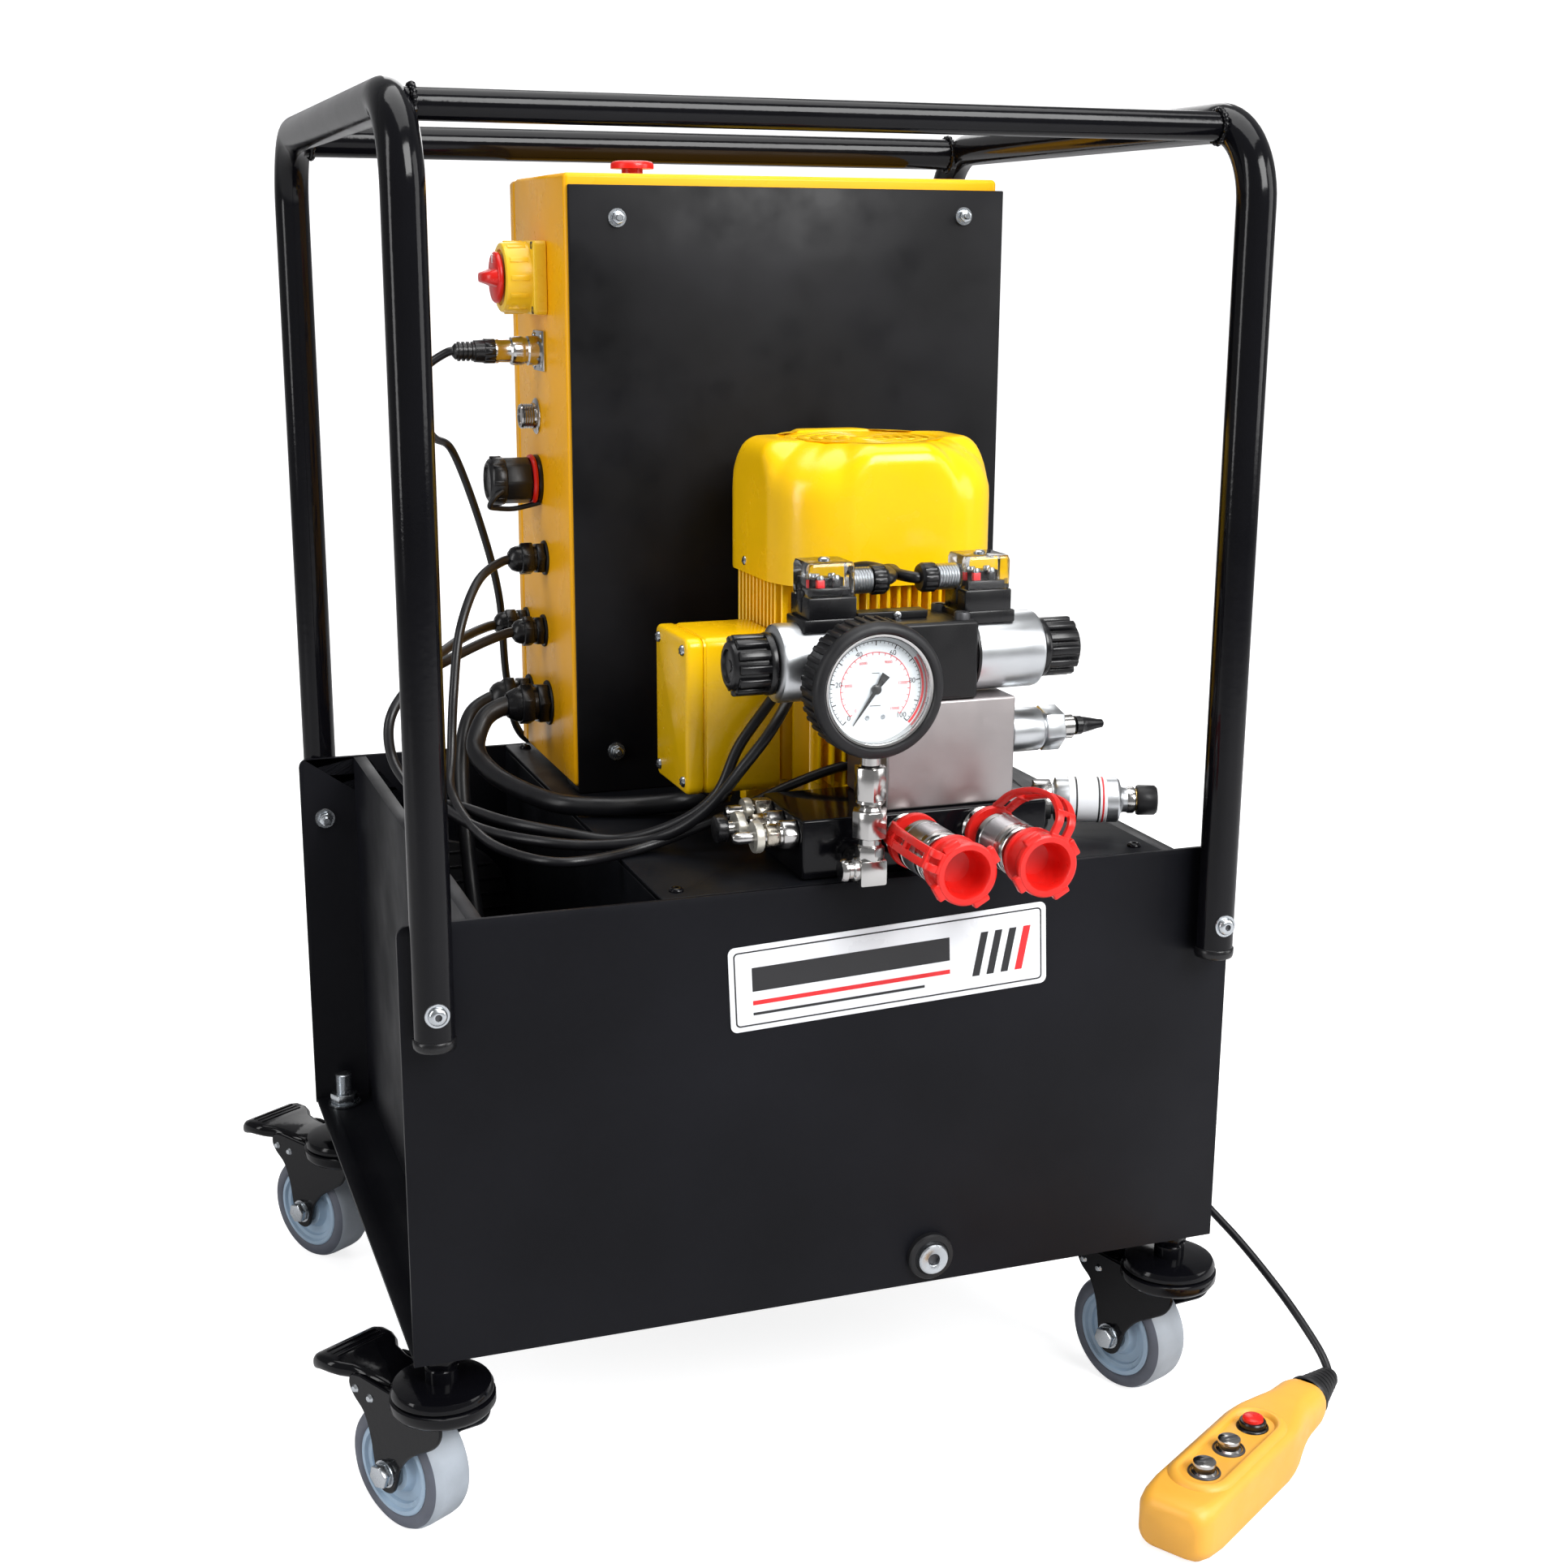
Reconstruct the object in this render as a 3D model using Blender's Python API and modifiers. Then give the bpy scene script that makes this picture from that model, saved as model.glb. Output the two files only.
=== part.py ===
"""Hydraulic power unit on casters: a sheet-metal tray with an oil tank, a tube roll cage,
a vertical electric motor with a pump below it, a manifold with a two-solenoid valve,
a gauge and two quick couplers, a control cabinet, and a hand pendant on the floor.

Lengths are in millimetres and become metres when a solid is made. +X runs to the right
along the front panel, +Y to the back, +Z up. The constants count from the floor under the
tray's centre. The last step slides the whole unit until its outline is centred instead.
"""
import math

import bmesh
import bpy
from mathutils import Matrix, Vector

MM = 0.001
GAP = 0.3            # clearance between two pieces that touch in the real machine

# Tray and tank
TRAY_W = 500.0
TRAY_D = 400.0
TRAY_BOTTOM = 120.0
TRAY_TOP = 374.0
SHEET = 3.0
EDGE_SET = 0.5       # welded edges sit this far inside their neighbour's edge
CORNER_R = 6.0
END_X = 212.5        # outer face of each end plate
FLANGE_W = 8.5
TANK_X0 = -105.0
TANK_X1 = END_X - FLANGE_W - GAP
TANK_Y = TRAY_D / 2 - SHEET - GAP
COVER_Z0 = TRAY_TOP - SHEET
DECK_Z = TRAY_TOP + GAP

# Roll cage
TUBE_R = 11.0
FRONT_RAIL_R = 8.0
CAGE_X = 234.0
CAGE_Y = TRAY_D / 2 + TUBE_R
CAGE_TOP = 788.0
CAGE_FOOT = 311.0
CAGE_BEND = 45.0
RAIL_Y = CAGE_Y - 27.0
RAIL_DROP = 3.0

# Casters: the stem's place and how far the wheel trails round from +Y towards -X
STEM_X = 232.0
STEM_Y = 182.0
TRAIL_ANGLE = {"fl": 30.0, "fr": 20.0, "bl": 33.0, "br": 25.0}
TRAIL = 30.0
WHEEL_H = 37.5       # axle height
TREAD_HALF = 14.0    # half the width of the wheel
WHEEL_SIDES = 20
WHEEL_R = WHEEL_H / math.cos(math.pi / WHEEL_SIDES)
AXLE_R = 4.0
STEM_R = 6.0
HEAD_Z = 93.5        # where the fork turns under the swivel head
PEDAL_Y = 46.0
PEDAL_Z = 84.0

# Motor, pump and rotor share one upright axis
MOTOR_X = 66.0
MOTOR_Y = -50.0
MOTOR_R = 67.0
MOTOR_TOP = 553.0
FINS = 24
FIN_DEPTH = 6.0
SHAFT_R = 9.5
COWL_SIZE = 141.0
COWL_Z0 = 527.0
COWL_Z1 = 609.0

# Manifold stack
BASE_X0, BASE_X1 = -21.0, 130.0
BASE_Y0, BASE_Y1 = -190.0, -122.0
BASE_TOP = 409.0
BLOCK_X0, BLOCK_X1 = 31.0, 110.0
BLOCK_Y0, BLOCK_Y1 = -186.0, -124.0
BLOCK_TOP = 471.0
VALVE_X0, VALVE_X1 = 14.0, 86.0
VALVE_Y1 = -140.0
VALVE_TOP = 516.0
SPOOL_Y, SPOOL_Z = -163.0, 494.0
SPOOL_R = 7.5
COIL_R, COIL_L = 22.2, 44.5
CAP_R, CAP_L = 17.0, 25.0
RELIEF_Y, RELIEF_Z = -155.0, 443.5
RELIEF_END = 162.0
SENSOR_AT = (133.4, -131.3, 395.0)
SENSOR_TURN = -20.8
BLEED_Y = {"front": -178.0, "rear": -155.0}
BLEED_Z = 399.0

# Couplers and gauge
COUPLER_X = {"left": 41.0, "right": 88.5}
COUPLER_Z = 396.0
GAUGE_X, GAUGE_Z = 9.5, 487.8
GAUGE_R = 38.0
GAUGE_Y0, GAUGE_Y1 = -228.0, -200.0
DIAL_Y = -219.0
STEM_LINE_Y = -214.0

# Control cabinet
CAB_X0, CAB_X1 = -92.0, 198.0
CAB_Y0, CAB_Y1 = 45.0, 181.0
CAB_Z0, CAB_Z1 = 378.0, 763.0
CAB_WALL = 2.0
DOOR_T = 14.0
LOCK_X, LOCK_Z = -74.0, 570.0
ISO_Y, ISO_Z = 115.0, 700.0
ESTOP_X, ESTOP_Y = -33.0, 100.0

# Cooling fan behind the open bay
FAN_X, FAN_Z = -158.0, 255.0
FAN_R = 85.0
AIR_HOLE_R = 48.0
FAN_Y0, FAN_Y1 = TRAY_D / 2 + GAP, 240.0

# Hand pendant on the floor
PENDANT_TIP = (146.7, -337.9)
PENDANT_ANGLE = 32.0
PENDANT_L, PENDANT_W, PENDANT_H = 182.0, 46.0, 38.0
BUTTON_AT = {"stop": 104.0, "advance": 73.0, "retract": 42.0}

UP = (0, 0, 1)
LEFT = (-1, 0, 0)
RIGHT = (1, 0, 0)
FRONT = (0, -1, 0)
BACK = (0, 1, 0)


# ---------------------------------------------------------------- solids

def clear_scene():
    for obj in list(bpy.data.objects):
        bpy.data.objects.remove(obj, do_unlink=True)


def collection(name):
    coll = bpy.data.collections.new(name)
    bpy.context.scene.collection.children.link(coll)
    return coll


def settle(obj):
    """Turn an object into the plain mesh that its curve or modifiers make."""
    bpy.context.view_layer.update()
    graph = bpy.context.evaluated_depsgraph_get()
    mesh = bpy.data.meshes.new_from_object(obj.evaluated_get(graph))
    mesh.transform(obj.matrix_world)
    bpy.data.objects.remove(obj, do_unlink=True)
    work = bmesh.new()
    work.from_mesh(mesh)
    bmesh.ops.remove_doubles(work, verts=work.verts, dist=0.002 * MM)
    bmesh.ops.recalc_face_normals(work, faces=work.faces)
    work.to_mesh(mesh)
    work.free()
    solid = bpy.data.objects.new("solid", mesh)
    workshop.objects.link(solid)
    return solid


def placed(at, axis=UP):
    """The matrix that puts a shape's own Z along an axis, starting at a point."""
    shift = Matrix.Translation(Vector(at) * MM)
    if axis == UP:
        return shift
    return shift @ Vector(axis).to_track_quat("Z", "Y").to_matrix().to_4x4()


def box(low, high, bevel=0.0, segments=2):
    """An upright box between two corners, with its edges rounded if asked."""
    low, high = Vector(low), Vector(high)
    mesh = bpy.data.meshes.new("box")
    work = bmesh.new()
    bmesh.ops.create_cube(work, size=1.0)
    bmesh.ops.scale(work, vec=(high - low) * MM, verts=work.verts)
    bmesh.ops.translate(work, vec=(high + low) / 2 * MM, verts=work.verts)
    work.to_mesh(mesh)
    work.free()
    obj = bpy.data.objects.new("box", mesh)
    workshop.objects.link(obj)
    if bevel:
        mod = obj.modifiers.new("round", "BEVEL")
        mod.width = bevel * MM
        mod.segments = segments
    return settle(obj)


def turned(profile, at, axis=UP, sides=16, spin=0.0):
    """A solid of revolution. The profile lists (radius, height) down its outer side;
    it is a ring when it starts and ends off the axis."""
    mesh = bpy.data.meshes.new("turned")
    points = [(r * MM, 0.0, z * MM) for r, z in profile]
    edges = [(i, i + 1) for i in range(len(points) - 1)]
    if profile[0][0] > 0:
        edges.append((len(points) - 1, 0))
    mesh.from_pydata(points, edges, [])
    obj = bpy.data.objects.new("turned", mesh)
    workshop.objects.link(obj)
    mod = obj.modifiers.new("turn", "SCREW")
    mod.steps = sides
    mod.render_steps = sides
    mod.use_merge_vertices = True
    mod.merge_threshold = 0.005 * MM
    obj.matrix_world = placed(at, axis) @ Matrix.Rotation(math.radians(spin), 4, "Z")
    return settle(obj)


def rod(radius, length, at, axis=UP, sides=16):
    return turned([(0, length), (radius, length), (radius, 0), (0, 0)], at, axis, sides)


def ring(outer, inner, length, at, axis=UP, sides=16):
    profile = [(outer, length), (outer, 0), (inner, 0), (inner, length)]
    return turned(profile, at, axis, sides)


def filleted(corners, steps=4):
    """The points of a path or outline whose corners (point, radius) are rounded."""
    count = len(corners)
    points = []
    for i, (corner, radius) in enumerate(corners):
        corner = Vector(corner)
        if not radius:
            points.append(corner)
            continue
        before = (Vector(corners[i - 1][0]) - corner).normalized()
        after = (Vector(corners[(i + 1) % count][0]) - corner).normalized()
        half = before.angle(after) / 2
        centre = corner + (before + after).normalized() * radius / math.sin(half)
        first = (corner + before * radius / math.tan(half) - centre).normalized()
        last = (corner + after * radius / math.tan(half) - centre).normalized()
        points += [centre + first.slerp(last, k / steps) * radius for k in range(steps + 1)]
    return points


def tube(corners, radius, sides=4, steps=5):
    """A bent round bar along a path of (point, bend radius)."""
    points = filleted(corners, steps)
    curve = bpy.data.curves.new("tube", "CURVE")
    curve.dimensions = "3D"
    curve.bevel_depth = radius * MM
    curve.bevel_resolution = sides
    curve.use_fill_caps = True
    spline = curve.splines.new("POLY")
    spline.points.add(len(points) - 1)
    for target, point in zip(spline.points, points):
        target.co = (*(point * MM), 1.0)
    obj = bpy.data.objects.new("tube", curve)
    workshop.objects.link(obj)
    return settle(obj)


def slab(outline, thickness, at=(0, 0, 0), axis=UP, holes=()):
    """A flat plate from an outline of 2-D points, centred on the plane it is drawn in."""
    curve = bpy.data.curves.new("slab", "CURVE")
    curve.dimensions = "2D"
    curve.fill_mode = "BOTH"
    curve.extrude = thickness / 2 * MM
    for loop in (outline, *holes):
        spline = curve.splines.new("POLY")
        spline.points.add(len(loop) - 1)
        spline.use_cyclic_u = True
        for target, point in zip(spline.points, loop):
            target.co = (point[0] * MM, point[1] * MM, 0.0, 1.0)
    obj = bpy.data.objects.new("slab", curve)
    workshop.objects.link(obj)
    obj.matrix_world = placed(at, axis)
    return settle(obj)


def boolean(solid, tools, operation):
    for tool in tools:
        mod = solid.modifiers.new("join", "BOOLEAN")
        mod.operation = operation
        mod.object = tool
        solid = settle(solid)
        bpy.data.objects.remove(tool, do_unlink=True)
    return solid


def union(solid, *tools):
    return boolean(solid, tools, "UNION")


def cut(solid, *tools):
    return boolean(solid, tools, "DIFFERENCE")


def moved(solid, matrix):
    solid.data.transform(matrix)
    return solid


def paint(name, colour, roughness, metallic=0.0):
    mat = bpy.data.materials.new(name)
    mat.use_nodes = True
    shader = mat.node_tree.nodes["Principled BSDF"]
    shader.inputs["Base Color"].default_value = (*colour, 1.0)
    shader.inputs["Roughness"].default_value = roughness
    shader.inputs["Metallic"].default_value = metallic
    return mat


def part(name, solid, mat, pivot=(0, 0, 0), parent=None):
    """Name a finished solid, colour it, and put its origin on its pivot."""
    pivot = Vector(pivot) * MM
    solid.data.transform(Matrix.Translation(-pivot))
    solid.data.materials.clear()
    solid.data.materials.append(mat)
    solid.data.shade_smooth()
    solid.data.set_sharp_from_angle(angle=math.radians(35))
    solid.name = name
    solid.data.name = name
    workshop.objects.unlink(solid)
    unit.objects.link(solid)
    solid.location = pivot
    if parent:
        solid.parent = parent
        solid.location = pivot - parent.location
    return solid


def centre_on_origin():
    """Slide the unit so that the origin is the middle of its outline on the floor."""
    bpy.context.view_layer.update()
    corners = [obj.matrix_world @ vert.co for obj in unit.objects for vert in obj.data.vertices]
    for axis in (0, 1):
        reach = [corner[axis] for corner in corners]
        middle = (min(reach) + max(reach)) / 2
        for obj in unit.objects:
            if not obj.parent:
                obj.location[axis] -= middle


# ---------------------------------------------------------------- chassis

def chassis_tray():
    """Folded tray: floor, front and back panels, and end plates set in from the sides."""
    half_w, half_d = TRAY_W / 2, TRAY_D / 2
    panel = filleted([
        ((-half_w, TRAY_BOTTOM), 0), ((half_w, TRAY_BOTTOM), 0),
        ((half_w, TRAY_TOP), CORNER_R), ((-half_w, TRAY_TOP), CORNER_R)])
    front = slab(panel, SHEET, (0, -half_d + SHEET / 2, 0), FRONT)
    back = slab(panel, SHEET, (0, half_d - SHEET / 2, 0), FRONT)
    inside = half_d - SHEET / 2
    floor_z = (TRAY_BOTTOM + EDGE_SET, TRAY_BOTTOM + SHEET)
    width = half_w - EDGE_SET
    pieces = [back, box((-width, -inside, floor_z[0]), (width, inside, floor_z[1]))]
    top = TRAY_TOP - EDGE_SET
    for side in (-1, 1):
        section = [(END_X, floor_z[0] + 1), (END_X, top), (END_X - FLANGE_W, top),
                   (END_X - FLANGE_W, top - SHEET), (END_X - SHEET, top - SHEET),
                   (END_X - SHEET, floor_z[0] + 1)]
        pieces.append(slab([(side * x, z) for x, z in section], 2 * inside, axis=FRONT))
    tray = union(front, *pieces)
    holes = [rod(STEM_R + 0.4, 20, (x, y, TRAY_BOTTOM - 8), sides=16)
             for x in (-STEM_X, STEM_X) for y in (-STEM_Y, STEM_Y)]
    holes.append(rod(AIR_HOLE_R, 20, (FAN_X, half_d - 10, FAN_Z), BACK, sides=24))
    part("chassis_tray", cut(tray, *holes), black_sheet)


def oil_tank():
    """Open-topped welded tank that fills the tray from front to back."""
    shell = box((TANK_X0, -TANK_Y, TRAY_BOTTOM + SHEET + GAP), (TANK_X1, TANK_Y, COVER_Z0 - GAP))
    room = box((TANK_X0 + SHEET, SHEET - TANK_Y, TRAY_BOTTOM + 2 * SHEET),
               (TANK_X1 - SHEET, TANK_Y - SHEET, COVER_Z0 + 10))
    part("oil_tank", cut(shell, room), black_sheet)
    cover = box((TANK_X0, -TANK_Y, COVER_Z0), (TANK_X1, TANK_Y, TRAY_TOP))
    hole = rod(14, 20, (MOTOR_X, MOTOR_Y, COVER_Z0 - 10))
    part("tank_cover", cut(cover, hole), gloss_black)


def roll_cage():
    """Two bent side loops, joined at the top by a thin front rail and a rear rail."""
    loops = []
    for x in (-CAGE_X, CAGE_X):
        loops.append(tube([
            ((x, -CAGE_Y, CAGE_FOOT), 0), ((x, -CAGE_Y, CAGE_TOP), CAGE_BEND),
            ((x, CAGE_Y, CAGE_TOP), CAGE_BEND), ((x, CAGE_Y, CAGE_FOOT), 0)], TUBE_R))
    height = CAGE_TOP - RAIL_DROP
    for y, radius in ((-RAIL_Y, FRONT_RAIL_R), (RAIL_Y, TUBE_R - 0.5)):
        rail = tube([((-CAGE_X, y, height), 0), ((CAGE_X, y, height), 0)], radius, sides=3)
        loops.append(rail)
    part("roll_cage", union(*loops), gloss_black)


# ---------------------------------------------------------------- casters

def caster_stem():
    """Threaded stem with its nuts and the fixed upper half of the swivel head."""
    floor_top = TRAY_BOTTOM + SHEET + GAP
    return turned([
        (0, 139), (STEM_R, 139), (STEM_R, 131), (10, 131), (10, floor_top), (STEM_R, floor_top),
        (STEM_R, TRAY_BOTTOM - GAP), (9.5, TRAY_BOTTOM - GAP), (9.5, 101), (22, 100), (27, 96),
        (27, HEAD_Z), (0, HEAD_Z)], (0, 0, 0), sides=12)


def caster_fork():
    """Swivel ring, two side plates and the axle bolt between them."""
    top = HEAD_Z - GAP
    head = turned([(0, top), (28, top), (28, 85), (0, 85)], (0, 0, 0), sides=16)
    side = filleted([
        ((-22, 86), 0), ((-18, 79), 4), ((14, 62), 10), ((TRAIL - 10, WHEEL_H), 0),
        ((TRAIL - 8, 25), 7), ((TRAIL + 8, 25), 7), ((TRAIL + 10, WHEEL_H), 0), ((44, 68), 10),
        ((57, 80), 6), ((57, 89), 4), ((-22, 90), 0)], steps=2)
    reach = TREAD_HALF + 3.8
    plates = [slab([(y, z) for y, z in side], 2.5, (x, 0, 0), RIGHT) for x in (-reach, reach)]
    axle = rod(AXLE_R, 2 * reach + 9, (-reach - 4.5, TRAIL, WHEEL_H), RIGHT, sides=8)
    return union(head, *plates, axle)


def caster_wheel():
    """Hub and tread turned about the axle, with one tread facet flat on the floor."""
    half = [(12, TREAD_HALF), (14, 10), (26, 10), (28, TREAD_HALF), (WHEEL_R, TREAD_HALF - 5)]
    profile = [(AXLE_R + 0.6, TREAD_HALF)] + half + [(r, -x) for r, x in reversed(half)]
    profile.append((AXLE_R + 0.6, -TREAD_HALF))
    facet = 180 / WHEEL_SIDES
    return turned(profile, (0, TRAIL, WHEEL_H), RIGHT, WHEEL_SIDES, spin=facet)


def brake_pedal():
    """Foot pedal whose arm pivots between the side plates."""
    arm = box((-9, 31, PEDAL_Z), (9, 68, PEDAL_Z + 6), bevel=1.5, segments=1)
    pad = box((-24, 62, PEDAL_Z + 4), (24, 92, PEDAL_Z + 11), bevel=2.5, segments=2)
    return union(pad, arm)


def casters():
    for corner, angle in TRAIL_ANGLE.items():
        x = -STEM_X if corner[1] == "l" else STEM_X
        y = -STEM_Y if corner[0] == "f" else STEM_Y
        turn = Matrix.Rotation(math.radians(angle), 4, "Z")
        place = Matrix.Translation(Vector((x, y, 0)) * MM) @ turn
        axle = place @ Vector((0, TRAIL * MM, WHEEL_H * MM)) / MM
        hinge = place @ Vector((0, PEDAL_Y * MM, PEDAL_Z * MM)) / MM
        part(f"caster_stem_{corner}", moved(caster_stem(), place), zinc)
        fork = part(f"caster_fork_{corner}", moved(caster_fork(), place), gloss_black, (x, y, 0))
        part(f"caster_wheel_{corner}", moved(caster_wheel(), place), grey_tread, axle, fork)
        part(f"brake_pedal_{corner}", moved(brake_pedal(), place), gloss_black, hinge, fork)


# ---------------------------------------------------------------- motor and pump

def fan_cowl():
    """Rounded-square sheet hood, open below and over the fan."""
    half = COWL_SIZE / 2
    levels = ((half, 38, COWL_Z0), (half, 38, COWL_Z1 - 22), (half - 2, 38, COWL_Z1 - 12),
              (half - 8, 36, COWL_Z1 - 4), (half - 18, 34, COWL_Z1), (half - 28, 30, COWL_Z1))
    shell = bmesh.new()
    below = None
    for reach, radius, height in levels:
        corners = ((-reach, -reach), (reach, -reach), (reach, reach), (-reach, reach))
        loop = filleted([(corner, radius) for corner in corners], steps=4)
        around = [(MOTOR_X + point[0], MOTOR_Y + point[1], height) for point in loop]
        verts = [shell.verts.new(Vector(point) * MM) for point in around]
        if below:
            for i, vert in enumerate(verts):
                shell.faces.new((below[i - 1], below[i], vert, verts[i - 1]))
        below = verts
    mesh = bpy.data.meshes.new("cowl")
    shell.to_mesh(mesh)
    shell.free()
    obj = bpy.data.objects.new("cowl", mesh)
    workshop.objects.link(obj)
    mod = obj.modifiers.new("wall", "SOLIDIFY")
    mod.thickness = 2 * MM
    mod.offset = -1
    return settle(obj)


def motor():
    """Finned housing on a flange, its cowl and terminal box, the rotor, and the pump below."""
    at = (MOTOR_X, MOTOR_Y, 0)
    outline = []
    root = MOTOR_R - FIN_DEPTH
    for fin in range(FINS):
        for offset, radius in ((-0.3, root), (-0.2, MOTOR_R), (0.2, MOTOR_R), (0.3, root)):
            angle = 2 * math.pi * (fin + offset) / FINS
            outline.append((radius * math.cos(angle), radius * math.sin(angle)))
    barrel_z = (400.0, MOTOR_TOP - 6)
    barrel = slab(outline, barrel_z[1] - barrel_z[0], (MOTOR_X, MOTOR_Y, sum(barrel_z) / 2))
    shields = turned([
        (0, MOTOR_TOP), (56, MOTOR_TOP), (62, barrel_z[1]), (62, 406), (66, 400), (66, 394),
        (70, 388), (70, DECK_Z), (0, DECK_Z)], at, sides=24)
    bore = rod(SHAFT_R + 0.7, MOTOR_TOP, at)
    part("motor_housing", cut(union(shields, barrel), bore), yellow_paint)

    part("fan_cowl", fan_cowl(), yellow_paint)

    rotor = turned([
        (0, 588), (9, 588), (9, 582), (50, 580), (50, 566), (14, 564), (SHAFT_R, 560),
        (SHAFT_R, 342), (SHAFT_R - 1, 340), (0, 340)], at)
    part("motor_rotor", rotor, steel, at)

    terminal = box((-60, -99, 404), (-1.5, -35, 498), bevel=5)
    part("terminal_box", terminal, yellow_paint)

    pump = turned([(0, COVER_Z0 - GAP), (45, COVER_Z0 - GAP), (45, 352), (34, 346), (34, 285),
                   (28, 279), (28, 262), (0, 262)], at)
    socket = rod(SHAFT_R + 0.7, 60, (MOTOR_X, MOTOR_Y, 335))
    part("pump_body", cut(pump, socket), cast_iron)


# ---------------------------------------------------------------- hydraulics

def manifold():
    """Black base block on the cover, a steel block on it, and the valve on top."""
    base = box((BASE_X0, BASE_Y0, DECK_Z), (BASE_X1, BASE_Y1, BASE_TOP), bevel=1.0, segments=1)
    part("manifold_base", base, black_sheet)
    block = box((BLOCK_X0, BLOCK_Y0, BASE_TOP + GAP), (BLOCK_X1, BLOCK_Y1, BLOCK_TOP),
                bevel=1.0, segments=1)
    part("manifold_block", block, steel)

    body = box((VALVE_X0, BLOCK_Y0, BLOCK_TOP + GAP), (VALVE_X1, VALVE_Y1, VALVE_TOP),
               bevel=1.5, segments=1)
    bore = rod(SPOOL_R + 0.4, VALVE_X1 - VALVE_X0 + 20, (VALVE_X0 - 10, SPOOL_Y, SPOOL_Z), RIGHT)
    part("valve_body", cut(body, bore), black_cast)

    middle = (VALVE_X0 + VALVE_X1) / 2
    lands = [(33, 20), (8, -8), (-20, -33)]
    profile = []
    for top, bottom in lands:
        profile += [(5, top), (SPOOL_R, top), (SPOOL_R, bottom), (5, bottom)]
    profile = [(0, 33)] + profile[1:-1] + [(0, -33)]
    spool = turned(profile, (middle, SPOOL_Y, SPOOL_Z), RIGHT)
    part("valve_spool", spool, steel, (middle, SPOOL_Y, SPOOL_Z))

    for side, face, axis in (("left", VALVE_X0, LEFT), ("right", VALVE_X1, RIGHT)):
        start = face + GAP * axis[0]
        coil_end = start + COIL_L * axis[0]
        coil = ring(COIL_R, SPOOL_R + 2, COIL_L, (start, SPOOL_Y, SPOOL_Z), axis, sides=24)
        part(f"solenoid_coil_{side}", coil, steel)
        knob = turned([(0, CAP_L), (CAP_R - 2, CAP_L), (CAP_R, CAP_L - 2), (CAP_R, 4),
                       (CAP_R + 1.5, 4), (CAP_R + 1.5, 0), (0, 0)],
                      (coil_end + GAP * axis[0], SPOOL_Y, SPOOL_Z), axis)
        part(f"solenoid_cap_{side}", knob, black_plastic)


def side_fittings():
    """Relief valve and pressure sensor on the right, bleed screws on the left."""
    at = (BLOCK_X1 + GAP, RELIEF_Y, RELIEF_Z)
    length = RELIEF_END - at[0]
    cartridge = turned([(0, length), (7, length), (9, length - 2), (9, length - 10),
                        (11.2, length - 12), (11.2, 6), (9.5, 4), (9.5, 0), (0, 0)], at, RIGHT)
    part("relief_cartridge", cartridge, steel)
    pivot = (RELIEF_END + GAP, RELIEF_Y, RELIEF_Z)
    adjuster = turned([(0, 21), (2.5, 21), (3.5, 10), (5.5, 9), (5.5, 2), (3, 1.5), (3, 0), (0, 0)],
                      pivot, RIGHT, sides=16)
    part("relief_adjuster", adjuster, black_plastic, pivot)

    turn = math.radians(SENSOR_TURN)
    aim = (math.cos(turn), math.sin(turn), 0)
    sensor = turned([(0, 98), (8, 98), (9.5, 96), (9.5, 86), (7.5, 84), (7.5, 76), (11.5, 74),
                     (11.5, 28), (9, 26), (9, 16), (7, 14), (7, 0), (0, 0)], SENSOR_AT, aim)
    part("pressure_sensor", sensor, steel)

    spindle = [(0, 37), (3, 37), (3, 25)]
    front = spindle + [(9.3, 25), (9.3, 20.5), (3, 20.5), (3, 0), (0, 0)]
    rear = [(0, 40), (8, 40), (8, 34), (4, 33), (4, 28), (8.8, 28), (8.8, 23.5), (3, 23.5),
            (3, 0), (0, 0)]
    for place, profile in (("front", front), ("rear", rear)):
        pivot = (BASE_X0 - GAP, BLEED_Y[place], BLEED_Z)
        part(f"bleed_screw_{place}", turned(profile, pivot, LEFT), steel, pivot)


def couplers():
    """Each quick coupler: the fixed body, its sliding sleeve and its dust cap."""
    for side, x in COUPLER_X.items():
        at = (x, BASE_Y0 - GAP, COUPLER_Z)
        body = turned([(0, 62.4), (9, 62.4), (10.5, 61), (10.5, 16), (12, 15), (12, 0), (0, 0)],
                      at, FRONT)
        part(f"coupler_{side}", body, steel)
        sleeve = turned([(14, 57), (15, 56), (15, 24), (13.5, 22), (10.9, 22), (10.9, 57)],
                        at, FRONT)
        part(f"coupler_sleeve_{side}", sleeve, steel, at)
        cap = turned([(0, 66), (10, 68), (12, 72), (12, 85), (17, 85), (17, 64), (15, 62.7),
                      (0, 62.7)], at, FRONT)
        part(f"dust_cap_{side}", cap, red_plastic)


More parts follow.
